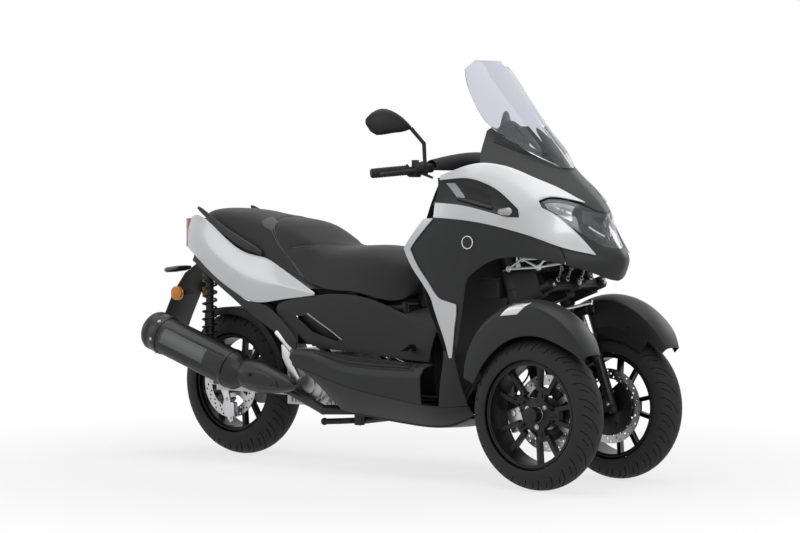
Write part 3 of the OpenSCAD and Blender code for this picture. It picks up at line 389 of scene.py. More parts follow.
def steered(u, v, w):
    """A place in the leaning frame of the steering head: along, across and up its axis, in millimetres."""
    return Vector((FRONT_AXLE.x + (TRAIL + u * math.cos(CASTER) - w * math.sin(CASTER)) * MM, v * MM,
                   (u * math.sin(CASTER) + w * math.cos(CASTER)) * MM))


def lean(piece):
    """Takes a piece drawn upright along the steering axis to its leaning place."""
    turn = Matrix.Rotation(-CASTER, 4, "Y")
    piece.data.transform(Matrix.Translation(steered(0, 0, 0)) @ turn)
    return piece


def spread(places, count):
    """So many places along a smooth line through a few."""
    places = [Vector(place) for place in places]
    ends = [places[0] * 2 - places[1], *places, places[-1] * 2 - places[-2]]
    line = []
    for k in range(count):
        s = k * (len(places) - 1) / (count - 1)
        i = min(int(s), len(places) - 2)
        t = s - i
        a, b, c, d = ends[i:i + 4]
        line.append(b + ((c - a) * t + (a * 2 - b * 5 + c * 4 - d) * t ** 2
                         + (b * 3 - a - c * 3 + d) * t ** 3) / 2)
    return line


def ribbon(path, width, count=24):
    """Rows of a strip of one width along a smooth line."""
    line = spread(path, count)
    rows = [[], [], []]
    for k, spot in enumerate(line):
        way = (line[min(k + 1, count - 1)] - line[max(k - 1, 0)]).normalized()
        side = Vector((-way.y, way.x)) * width / 2
        for row, share in zip(rows, (-1, 0, 1)):
            row.append(spot + side * share)
    return rows


def patch(low, high, count=16, rows=6):
    """Rows of a sheet between two lines."""
    low, high = spread(low, count), spread(high, count)
    return [[a.lerp(b, k / rows) for a, b in zip(low, high)] for k in range(rows + 1)]


def sheet(name, rows):
    """A grid of faces through rows of places."""
    rest()
    bpy.ops.mesh.primitive_grid_add(x_subdivisions=len(rows[0]) - 1, y_subdivisions=len(rows) - 1)
    piece = settle(name)
    for vertex, spot in zip(piece.data.vertices, [spot for row in rows for spot in row]):
        vertex.co = spot
    return piece


# Where a flat pattern starts before it drops on a surface: its axis and how two numbers make a place
VIEWS = {
    "side": ("y", lambda a, b: ahead(a, -460, b)),
    "top": ("z", lambda a, b: ahead(a, b, 1300)),
    "front": ("x", lambda a, b: ahead(1850, a, b)),
    "rider": ("x", lambda a, b: ahead(985, a, b)),
    "behind": ("x", lambda a, b: ahead(-420, a, b)),
}


def laid(name, rows, view, node, thickness, round_mm):
    """A thin piece that lies on a dressed node: a flat pattern dropped along an axis, then thickened."""
    axis, place = VIEWS[view]
    piece = sheet(name, [[place(*spot) for spot in row] for row in rows])
    start = piece.data.vertices[0].co["xyz".index(axis)]
    modify(piece, "SHRINKWRAP", target=skin_of(node), wrap_method="PROJECT", use_negative_direction=True,
           use_positive_direction=True, **{"use_project_" + axis: True})
    missed = sum(abs(vertex.co["xyz".index(axis)] - start) < TOUCHING for vertex in piece.data.vertices)
    if missed:
        raise RuntimeError(f"{name}: {missed} points miss {node}")
    modify(piece, "SOLIDIFY", thickness=thickness * MM, offset=0)
    edit(piece)
    bpy.ops.mesh.normals_make_consistent(inside=False)
    rest()
    bevel(piece, round_mm, angle=50)
    return smooth(piece, 40)


def skin_of(node):
    """The smooth copy that stands for a CAD node."""
    return bpy.data.objects[node + "_skin"]


def ring(name, centre, axis, major, minor, segments=40):
    """A round ring."""
    rest()
    bpy.ops.mesh.primitive_torus_add(major_radius=major * MM, minor_radius=minor * MM, major_segments=segments,
                                     minor_segments=10, location=centre, rotation=pointing(axis))
    return smooth(settle(name), 60)


def hex_bolt(name, place, axis, radius, height):
    """A hexagon bolt head on its washer."""
    place, axis = Vector(place), Vector(axis).normalized() * height * MM
    washer = rod(name + "_washer", place, place + axis * 0.3, radius * 1.35, 16)
    head = rod(name + "_head", place, place + axis, radius, 6)
    bevel(head, radius * 0.12, angle=50, segments=1)
    return joined([washer, head], name)


def spoke(angle):
    """Direction at an angle in the plane of a wheel."""
    return Vector((math.cos(angle), 0, math.sin(angle)))


def copy_of(node, name):
    """A merged copy of a CAD node's mesh."""
    piece = bpy.data.objects.new(name, frame["nodes"][node].data.copy())
    bpy.context.collection.objects.link(piece)
    edit(piece)
    bpy.ops.mesh.remove_doubles(threshold=CAD_TOUCHING)
    rest()
    return piece


def dressed(node, finish, slot, levels=0, round_mm=1.0, crease=30):
    """A smooth copy of a CAD node that stands for it: quads, creased borders, subdivision and rounded edges."""
    piece = copy_of(node, node + "_skin")
    edit(piece)
    if levels:
        bpy.ops.mesh.tris_convert_to_quads(face_threshold=math.radians(40), shape_threshold=math.radians(60))
        bpy.ops.mesh.select_all(action="DESELECT")
        bpy.ops.mesh.select_mode(type="EDGE")
        bpy.ops.mesh.edges_select_sharp(sharpness=math.radians(crease))
        bpy.ops.transform.edge_crease(value=1)
        bpy.ops.mesh.select_mode(type="VERT")
    else:
        bpy.ops.mesh.dissolve_limited(angle_limit=math.radians(0.5))
    rest()
    if levels:
        modify(piece, "SUBSURF", levels=levels, render_levels=levels)
    if round_mm:
        bevel(piece, round_mm, angle=50)
    return add(piece.name, [smooth(piece, 38)], finish, slot, body_of(node), replaced=(node,))


def dress_all(rows):
    """Dresses the nodes of a table. Columns: nodes, finish, slot, subdivision, edge radius."""
    for nodes, *look in rows:
        for node in nodes.split():
            dressed(node, *look)


# Shader maths


class Value:
    """A shader socket that Python's own operators combine through Math nodes."""

    def __init__(self, finish, socket):
        self.finish = finish
        self.socket = socket

    def math(self, operation, first, second):
        return self.finish.node("Math", {"operation": operation}, {0: first, 1: second})[0]

    def __add__(self, other):
        return self.math("ADD", self, other)

    def __radd__(self, other):
        return self.math("ADD", other, self)

    def __sub__(self, other):
        return self.math("SUBTRACT", self, other)

    def __mul__(self, other):
        return self.math("MULTIPLY", self, other)

    def __pow__(self, other):
        return self.math("POWER", self, other)

    def __gt__(self, other):
        return self.math("GREATER_THAN", self, other)


class Outputs:
    """A node's outputs, by name or number, each as a Value."""

    def __init__(self, finish, node):
        self.finish = finish
        self.node = node

    def __getitem__(self, key):
        return Value(self.finish, self.node.outputs[key])


class Finish:
    """A material under construction."""

    def __init__(self, name, tree=None):
        self.material = None
        if tree is None:
            self.material = bpy.data.materials.new(name)
            self.material.use_nodes = True
            tree = self.material.node_tree
        self.tree = tree
        self.tree.nodes.clear()

    def node(self, kind, settings=None, inputs=None):
        """Adds a node, sets its settings, then feeds its sockets with values or links."""
        made = self.tree.nodes.new("ShaderNode" + kind)
        for key, value in (settings or {}).items():
            setattr(made, key, value)
        for key, value in (inputs or {}).items():
            socket = made.inputs[key]
            if isinstance(value, Value):
                self.tree.links.new(value.socket, socket)
            elif isinstance(value, tuple) and len(value) == 3 and socket.type == "RGBA":
                socket.default_value = (*value, 1)
            else:
                socket.default_value = value
        return Outputs(self, made)

    def place(self):
        """Object coordinates."""
        return self.node("TexCoord")["Object"]

    def noise(self, scale, detail=3.0, roughness=0.55, stretch=None):
        """Value noise of so many cells a metre, stretched along the axes if asked."""
        place = self.place()
        if stretch:
            place = self.node("Mapping", None, {"Vector": place, "Scale": stretch})["Vector"]
        return self.node("TexNoise", None, {
            "Vector": place, "Scale": scale, "Detail": detail, "Roughness": roughness})["Fac"]

    def cells(self, scale):
        """Distance to the nearest cell point."""
        return self.node("TexVoronoi", {"feature": "F1"}, {"Vector": self.place(), "Scale": scale})["Distance"]

    def shades(self, factor, dark, light):
        """A colour between two, by a factor."""
        return self.node("Mix", {"data_type": "RGBA"}, {0: factor, 6: (*dark, 1), 7: (*light, 1)})[2]

    def relief(self, height, depth, strength=1.0):
        """A bumped normal."""
        return self.node("Bump", None, {"Height": height, "Distance": depth, "Strength": strength})["Normal"]

    def surface(self, **sockets):
        """Ends the material in a Principled shader."""
        inputs = {key.replace("_", " "): value for key, value in sockets.items()}
        shader = self.node("BsdfPrincipled", None, inputs)
        self.node("OutputMaterial", None, {"Surface": shader["BSDF"]})
        return self.material


def tone(colour, factor):
    """A colour made lighter or darker."""
    return tuple(min(1.0, channel * factor) for channel in colour)


def painted_silver(colour):
    """Metallic silver lacquer: fine flakes under a clear coat, a little orange peel."""
    f = Finish("silver_lacquer")
    flakes = f.cells(2600)
    cloud = f.noise(3.0)
    shade = f.shades(flakes * 0.5 + cloud * 0.5, tone(colour, 0.90), tone(colour, 1.08))
    peel = f.noise(260, 2)
    return f.surface(Base_Color=shade, Metallic=0.35, Roughness=0.30 + flakes * 0.10, Coat_Weight=0.8,
                     Coat_Roughness=0.06, Normal=f.relief(peel, 0.00006, 0.35))


def satin_graphite(name, colour):
    """Dark satin paint on moulded panels."""
    f = Finish(name)
    cloud = f.noise(5.0)
    flakes = f.cells(2200)
    shade = f.shades(cloud * 0.6 + flakes * 0.4, tone(colour, 0.82), tone(colour, 1.2))
    return f.surface(Base_Color=shade, Roughness=0.40 + cloud * 0.10, Specular_IOR_Level=0.26,
                     Normal=f.relief(f.noise(420, 2), 0.00005, 0.4))


def grained_moulding(name, colour, grain=900, roughness=0.52, depth=0.00012):
    """Black plastic with a leather-like moulded grain."""
    f = Finish(name)
    pebbles = f.cells(grain)
    cloud = f.noise(6.0)
    shade = f.shades(cloud, tone(colour, 0.8), tone(colour, 1.25))
    return f.surface(Base_Color=shade, Roughness=roughness + pebbles * 0.12, Specular_IOR_Level=0.3,
                     Normal=f.relief(pebbles, depth, 0.6))


def seat_vinyl(name, colour, roughness):
    """Seat cover: wrinkled vinyl grain with worn, smoother patches."""
    f = Finish(name)
    pebbles = f.cells(620)
    fine = f.noise(1500, 2)
    wear = f.noise(4.0)
    shade = f.shades(wear * 0.7 + pebbles * 0.3, tone(colour, 0.8), tone(colour, 1.3))
    return f.surface(Base_Color=shade, Roughness=roughness + pebbles * 0.12 - wear * 0.06, Specular_IOR_Level=0.26,
                     Normal=f.relief(pebbles * 0.7 + fine * 0.3, 0.00022, 0.7))


def coated_metal(name, colour, roughness=0.36, metallic=0.5):
    """Powder coat over metal."""
    f = Finish(name)
    dimples = f.noise(900, 2)
    cloud = f.noise(7.0)
    shade = f.shades(cloud, tone(colour, 0.8), tone(colour, 1.2))
    return f.surface(Base_Color=shade, Metallic=metallic, Roughness=roughness + dimples * 0.12,
                     Normal=f.relief(dimples, 0.00005, 0.5))


def bare_metal(name, colour, roughness, grain=(1, 1, 1), scale=220, depth=0.00003):
    """Metal with a machined or cast grain, stretched along the tool's way."""
    f = Finish(name)
    lines = f.noise(scale, 4, 0.6, grain)
    cloud = f.noise(9.0)
    shade = f.shades(lines * 0.6 + cloud * 0.4, tone(colour, 0.8), tone(colour, 1.12))
    return f.surface(Base_Color=shade, Metallic=1.0, Roughness=roughness + lines * 0.16,
                     Normal=f.relief(lines, depth, 0.6))


def tyre_rubber():
    """Tyre rubber: matt, with a paler dusty bloom."""
    f = Finish("tyre_rubber")
    bloom = f.noise(12.0)
    fine = f.noise(1300, 2)
    shade = f.shades(bloom, (0.016, 0.016, 0.017), (0.030, 0.030, 0.031))
    return f.surface(Base_Color=shade, Roughness=0.62 + bloom * 0.18, Specular_IOR_Level=0.3,
                     Normal=f.relief(fine, 0.00010, 0.5))


def clear_plastic(name, colour):
    """Clear lens plastic."""
    f = Finish(name)
    shade = f.shades(f.noise(14.0), tone(colour, 0.97), colour)
    return f.surface(Base_Color=shade, Roughness=0.02, IOR=1.45, Transmission_Weight=1.0)


def hazy_screen(name, high, low):
    """Windscreen plastic, smoky at the top and clear at the foot."""
    f = Finish(name)
    z = f.node("SeparateXYZ", None, {"Vector": f.place()})["Z"]
    rise = f.node("MapRange", {"interpolation_type": "SMOOTHSTEP"}, {
        "Value": z + f.noise(9.0) * 0.03, "From Min": 1.06, "From Max": 1.24})["Result"]
    return f.surface(Base_Color=f.shades(rise, low, high), Roughness=0.03, IOR=1.30, Transmission_Weight=1.0)


def lens_colour(name, colour, flute=260, roughness=0.12, coat=0.9):
    """Coloured lamp plastic with reflex prisms under its face."""
    f = Finish(name)
    prisms = f.cells(flute)
    shade = f.shades(prisms, tone(colour, 0.7), tone(colour, 1.2))
    return f.surface(Base_Color=shade, Roughness=roughness, Coat_Weight=coat, Coat_Roughness=0.03,
                     Normal=f.relief(prisms, 0.0006, 0.4))


def glowing(name, colour, strength):
    """A lit light guide."""
    f = Finish(name)
    ripple = f.noise(400, 2)
    shade = f.shades(ripple, tone(colour, 0.9), colour)
    return f.surface(Base_Color=shade, Roughness=0.3, Emission_Color=shade, Emission_Strength=strength)


class Palette:
    """Every finish, made once."""

    def __init__(self, paint):
        self.silver = painted_silver(tuple(paint.silver))
        self.graphite = satin_graphite("satin_graphite", tuple(paint.graphite))
        self.cowl = satin_graphite("cowl_grey", tone(tuple(paint.graphite), 1.5))
        self.moulding = grained_moulding("grained_moulding", tuple(paint.moulding))
        self.inner = grained_moulding("smooth_moulding", (0.010, 0.010, 0.011), 1400, 0.42, 0.00005)
        self.vinyl = seat_vinyl("seat_vinyl", tuple(paint.vinyl), 0.50)
        self.vinyl_pale = seat_vinyl("seat_insert_vinyl", (0.085, 0.087, 0.088), 0.48)
        self.thread = grained_moulding("stitch_thread", (0.16, 0.16, 0.16), 3000, 0.7, 0.0001)
        self.black_metal = coated_metal("black_coat", (0.012, 0.012, 0.013), 0.34)
        self.frame_metal = coated_metal("frame_coat", (0.016, 0.016, 0.017), 0.45)
        self.shield = coated_metal("shield_coat", (0.10, 0.103, 0.104), 0.34, 0.6)
        self.steel = bare_metal("machined_steel", (0.50, 0.50, 0.51), 0.22, (1, 8, 1), 160)
        self.chrome = bare_metal("hard_chrome", (0.72, 0.72, 0.73), 0.07, (1, 1, 6), 200, 0.00001)
        self.alloy = bare_metal("cast_alloy", (0.46, 0.46, 0.47), 0.40, (1, 1, 1), 500, 0.00012)
        self.pale_alloy = bare_metal("satin_alloy", (0.62, 0.62, 0.63), 0.30, (1, 1, 1), 420, 0.00006)
        self.exhaust_dark = coated_metal("exhaust_black", (0.008, 0.008, 0.0083), 0.33, 0.12)
        self.rubber = grained_moulding("soft_rubber", (0.017, 0.017, 0.018), 1100, 0.62, 0.00012)
        self.tyre = tyre_rubber()
        self.screen = hazy_screen("screen_plastic", (0.56, 0.58, 0.65), (0.86, 0.87, 0.90))
        self.lens = clear_plastic("lamp_lens", (0.80, 0.82, 0.83))
        # Two copies of one lamp reflector metal in a lit and a shaded tone: the wing's is made light as a painted
        # reflection of the bright studio, the bowls' is made near black as painted shade inside the lamp.
        self.wing_metal_painted_highlight = bare_metal("wing_metal_painted_highlight", (0.44, 0.45, 0.46), 0.14, (1, 1, 1), 90, 0.00002)
        self.reflector = bare_metal("bowl_metal_painted_shade", (0.08, 0.085, 0.09), 0.16, (1, 1, 1), 90, 0.00002)
        self.guide = glowing("light_guide", (0.8, 0.8, 0.8), 0.3)
        self.indicator = lens_colour("indicator_lens", (0.46, 0.45, 0.43), 160)
        self.smoked = lens_colour("smoked_lens", (0.020, 0.018, 0.016), 160)
        self.amber = lens_colour("amber_reflex", (0.80, 0.27, 0.003), 420, 0.3, 0.15)
        self.red = lens_colour("red_lens", (0.42, 0.008, 0.012), 180)
        self.glass = bare_metal("mirror_glass", (0.78, 0.80, 0.82), 0.02, (1, 1, 1), 10, 0.0)
        self.red_bright = lens_colour("red_guide", (0.80, 0.02, 0.02), 300)
        self.glass_eye = clear_plastic("projector_glass", (0.95, 0.96, 0.98))
        self.display = lens_colour("display_glass", (0.012, 0.014, 0.018), 40)
        self.pale = coated_metal("pale_accent", (0.30, 0.31, 0.315), 0.32, 0.4)


palette_store = {}


def palette():
    """The finishes, made when first asked for."""
    if "made" not in palette_store:
        palette_store["made"] = Palette(bpy.context.scene.scooter_paint)
    return palette_store["made"]


class SCOOTER_OT_stage(bpy.types.Operator):
    """Add the white floor, the soft lights and the camera"""

    bl_idname = "scooter.stage"
    bl_label = "Stage"

    def execute(self, context):
        stage = context.scene.scooter_stage
        rest()
        bpy.ops.mesh.primitive_plane_add(size=FLOOR_SIZE, location=(0, 0, 0))
        floor = settle("studio_floor")
        floor.data.materials.append(self.floor_finish())
        self.lights(context, stage)
        self.world(context, stage)
        back = Vector((math.sin(stage.azimuth) * math.cos(stage.elevation),
                       -math.cos(stage.azimuth) * math.cos(stage.elevation), math.sin(stage.elevation)))
        rest()
        bpy.ops.object.camera_add(location=CAMERA_TARGET + back * stage.distance, rotation=pointing(back))
        camera = context.object
        camera.data.lens = stage.lens
        camera.data.sensor_width = SENSOR_WIDTH
        camera.data.clip_end = VIEW_END
        context.scene.camera = camera
        context.scene.view_settings.view_transform = "Standard"
        return {"FINISHED"}

    def floor_finish(self):
        """White paper that turns to plain white away from the scooter."""
        f = Finish("studio_paper")
        place = f.node("SeparateXYZ", None, {"Vector": f.place()})
        far = (place["X"] ** 2 + place["Y"] ** 2) ** 0.5
        fade = f.node("MapRange", {"interpolation_type": "SMOOTHSTEP"}, {
            "Value": far, "From Min": 0.9, "From Max": 2.4, "To Min": 0.74})["Result"]
        rays = f.node("LightPath")
        seen = rays["Is Camera Ray"] + rays["Is Glossy Ray"] + rays["Is Transmission Ray"]
        paper = f.node("BsdfDiffuse", None, {"Color": (0.93, 0.93, 0.93)})
        white = f.node("Emission", None, {"Color": (1, 1, 1), "Strength": 1.0})
        mix = f.node("MixShader", None, {0: fade * (seen > 0.5), 1: paper["BSDF"], 2: white["Emission"]})
        f.node("OutputMaterial", None, {"Surface": mix["Shader"]})
        return f.material

    def lights(self, context, stage):
        """A wide softbox overhead and one at each side, all aimed at the scooter."""
        aim = Vector((0, 0, 0.6))
        rows = [
            ("overhead_light", (0.2, -0.3, 4.6), (5.0, 4.0), stage.key),
            ("front_light", (5.2, -3.2, 2.6), (2.4, 2.4), stage.fill),
            ("rear_light", (-4.6, -4.2, 3.0), (3.4, 3.0), stage.fill * 0.6),
            ("far_light", (1.5, 5.5, 3.2), (3.0, 2.2), stage.fill),
        ]
        for name, place, size, power in rows:
            rest()
            back = Vector(place) - aim
            bpy.ops.object.light_add(type="AREA", location=place, rotation=pointing(back))
            light = context.object
            light.name = name
            light.data.shape = "RECTANGLE"
            light.data.size, light.data.size_y = size
            light.data.energy = power

    def world(self, context, stage):
        """White to the eye and in reflections, softer as light."""
        world = bpy.data.worlds.new("white_studio")
        context.scene.world = world
        world.use_nodes = True
        f = Finish("white_studio", world.node_tree)
        rays = f.node("LightPath")
        seen = (rays["Is Camera Ray"] + rays["Is Glossy Ray"] + rays["Is Transmission Ray"]) > 0.5
        strength = seen * (1 - stage.ambient) + stage.ambient
        lit = f.node("Background", None, {"Color": (1, 1, 1), "Strength": strength})
        f.node("OutputWorld", None, {"Surface": lit["Background"]})


class SCOOTER_OT_panels(bpy.types.Operator):
    """Smooth the body panels over their CAD shapes"""

    bl_idname = "scooter.panels"
    bl_label = "Body Panels"

    def execute(self, context):
        dress_all((
            ("silver_fairings tail_panels", "silver", "silver_paint", 2, 1.0),
            ("side_fairings nose_chin", "graphite", "dark_plastic", 2, 1.0),
            ("upper_cowl", "cowl", "dark_plastic", 2, 1.0),
            ("tail_trims footboards floor_pan", "graphite", "dark_plastic", 2, 1.0),
            ("fender_right fender_left", "graphite", "dark_plastic", 2, 1.2),
            ("bar_cover", "moulding", "black_plastic", 2, 1.0),
            ("side_panels tunnel_cover", "moulding", "black_plastic", 1, 0.8),
            ("fuel_lid", "moulding", "black_plastic", 2, 0.8),
            ("leg_shield", "moulding", "black_plastic", 2, 1.0),
            ("dash_hood", "inner", "black_plastic", 2, 1.0),
            ("mudguards", "moulding", "black_plastic", 0, 1.2),
            ("grab_rails", "graphite", "dark_plastic", 2, 0),
            ("screen_brackets", "inner", "black_plastic", 2, 1.0),
        ))
        return {"FINISHED"}


class SCOOTER_OT_running_gear(bpy.types.Operator):
    """Round the edges of the frame, the engine, the forks and the controls"""

    bl_idname = "scooter.running_gear"
    bl_label = "Frame and Running Gear"

    def execute(self, context):
        dress_all((
            ("frame", "frame_metal", "black_metal", 0, 0),
            ("lean_linkage", "frame_metal", "black_metal", 0, 1.5),
            ("engine rear_arm", "alloy", "casting", 0, 3.0),
            ("exhaust muffler_cover", "exhaust_dark", "exhaust_metal", 0, 1.0),
            ("radiator", "black_metal", "black_metal", 0, 1.5),
            ("fuel_tank", "moulding", "black_plastic", 0, 4.0),
            ("storage_tub", "moulding", "black_plastic", 0, 2.0),
            ("brake_pedal", "black_metal", "black_metal", 0, 1.5),
            ("handlebar", "black_metal", "black_metal", 0, 0),
            ("brake_levers", "frame_metal", "black_metal", 0, 0),
            ("mirrors", "inner", "dark_plastic", 0, 0),
            ("center_stand", "black_metal", "black_metal", 0, 0),
            ("fork_right fork_left", "black_metal", "steel", 0, 1.0),
            ("tie_rod_right tie_rod_left", "steel", "steel", 0, 0.6),
            ("rim_front_right rim_front_left rim_rear", "black_metal", "black_metal", 0, 1.6),
        ))
        return {"FINISHED"}


class SCOOTER_OT_tyres(bpy.types.Operator):
    """Spin the three tyres and cut their road tread"""

    bl_idname = "scooter.tyres"
    bl_label = "Tyres"

    def execute(self, context):
        tread = context.scene.scooter_tread
        front = self.tyre("tyre_front_right", tread)
        pieces = {"tyre_front_right": front, "tyre_front_left": turned_over(front, "tyre_front_left_tread"),
                  "tyre_rear": self.tyre("tyre_rear", tread)}
        for node, piece in pieces.items():
            add(node + "_tread", [smooth(piece, 32)], "tyre", "tyre", body_of(node), replaced=(node,))
        return {"FINISHED"}

    def tyre(self, node, tread):
        """A round section spun about the axle, with swept grooves and sipes sunk into its tread."""
        low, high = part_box(node)
        axle = middle(node)
        half = (high.y - low.y) / 2
        section = high.z - axle.z - half
        rim, rib_height = 190 * MM, 1.2 * MM
        crown_end, shoulder = math.radians(118), math.radians(74)
        # Degrees from the crown that a groove, a sipe and the rib on the wall span
        groove_span, sipe_span, rib_span = (6, 72), (30, 58), (86, 92)
        rows = 44

        def sweep(t):
            return tread.sweep * (1 - (1 - min(1, abs(t) / shoulder)) ** 2)

        def within(span, t):
            return span[0] < math.degrees(abs(t)) < span[1]

        spots = []
        for k in range(rows + 1):
            t = crown_end * (2 * k / rows - 1)
            radius = max(section + half * math.cos(t), rim)
            rib = rib_height if within(rib_span, t) else 0
            spots.append(spoke(sweep(t)) * radius + Vector((0, (half + rib) * math.sin(t), 0)))
        columns = tread.pitches * tread.columns
        piece = lathe(node + "_tread", spots, (0, 1, 0), columns)
        step = math.tau / columns
        for face in piece.data.polygons:
            x, y, z = face.center
            t = math.atan2(y, math.hypot(x, z) - section)
            column = round((math.atan2(z, x) - sweep(t)) / step - 0.5) % tread.columns
            groove, sipe = (0, 5) if y < 0 else (4, 1)
            face.select = (column == tread.columns * groove // 8 and within(groove_span, t)
                           or column == tread.columns * sipe // 8 and within(sipe_span, t))
        take(piece)
        bpy.ops.object.mode_set(mode="EDIT")
        bpy.ops.mesh.select_mode(type="FACE")
        bpy.ops.mesh.extrude_region_shrink_fatten(TRANSFORM_OT_shrink_fatten={"value": -tread.depth})
        bpy.ops.mesh.select_mode(type="VERT")
        rest()
        piece.data.transform(Matrix.Translation(axle))
        return piece


class SCOOTER_OT_discs(bpy.types.Operator):
    """Drill the brake discs"""

    bl_idname = "scooter.discs"
    bl_label = "Brake Discs"

    def execute(self, context):
        groups, row_shift, drill_radius = 18, 0.33, 4.2
        for node in ("disc_front_right", "disc_front_left", "disc_rear"):
            low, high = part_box(node)
            radius = (high.z - low.z) / 2
            reach = Vector((0, high.y - low.y, 0))
            drills = []
            for k in range(groups):
                for row, share in enumerate((0.79, 0.865, 0.94)):
                    spot = middle(node) + spoke(math.tau * (k + row * row_shift) / groups) * radius * share
                    drills.append(rod("drill", spot - reach, spot + reach, drill_radius, 12))
            piece = carve(copy_of(node, node + "_drilled"), joined(drills, "drills"))
            add(piece.name, [smooth(piece, 30)], "steel", "steel", body_of(node), replaced=(node,))
        return {"FINISHED"}


class SCOOTER_OT_wheels(bpy.types.Operator):
    """Add the rims' lips, hub covers, bolts and valves"""

    bl_idname = "scooter.wheels"
    bl_label = "Wheel Details"

    def execute(self, context):
        for place, sides in (("front_right", (RIGHT,)), ("front_left", (LEFT,)), ("rear", (RIGHT, LEFT))):
            self.wheel(place, sides)
        return {"FINISHED"}

    def wheel(self, place, sides):
        """Both lips and the valve of one wheel, and what its open sides show."""
        body = body_of("rim_" + place)
        centre = middle("tyre_" + place)
        face = (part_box("tyre_" + place)[1].y - centre.y) * 0.82
        black = [ring("lip", centre + Vector((0, side * face, 0)), (0, 1, 0), 180.5, 3.2, 72)
                 for side in (RIGHT, LEFT)]
        bright = []
        for side in sides:
            out = Vector((0, side, 0))
            hub = centre + out * 10.5 * MM
            black.append(turned("cap", [(0, 10), (15, 9.4), (20, 6), (22, 0)], hub, out, 32))
            bright.append(ring("nut_ring", hub + out * 1 * MM, out, 26, 2.0, 40))
            bright += [hex_bolt("hub_bolt", hub + spoke(math.tau * k / 3 + 0.6) * 43 * MM, out, 6.5, 7)
                       for k in range(3)]
            for k in range(5):
                way = spoke(math.tau * k / 5) * MM
                black.append(rod("rib", hub + way * 64, hub + way * 84, 7, 16, 3))
        way = spoke(0.9)
        valve = centre + way * 168 * MM
        black.append(rod("valve", valve, valve + (way * -22 + Vector((0, sides[0] * 14, 0))) * MM, 3.6, 12, 3.0))
        add("wheel_trim_" + place, black, "black_metal", "black_metal", body)
        add("wheel_bolts_" + place, bright, "steel", "steel", body)


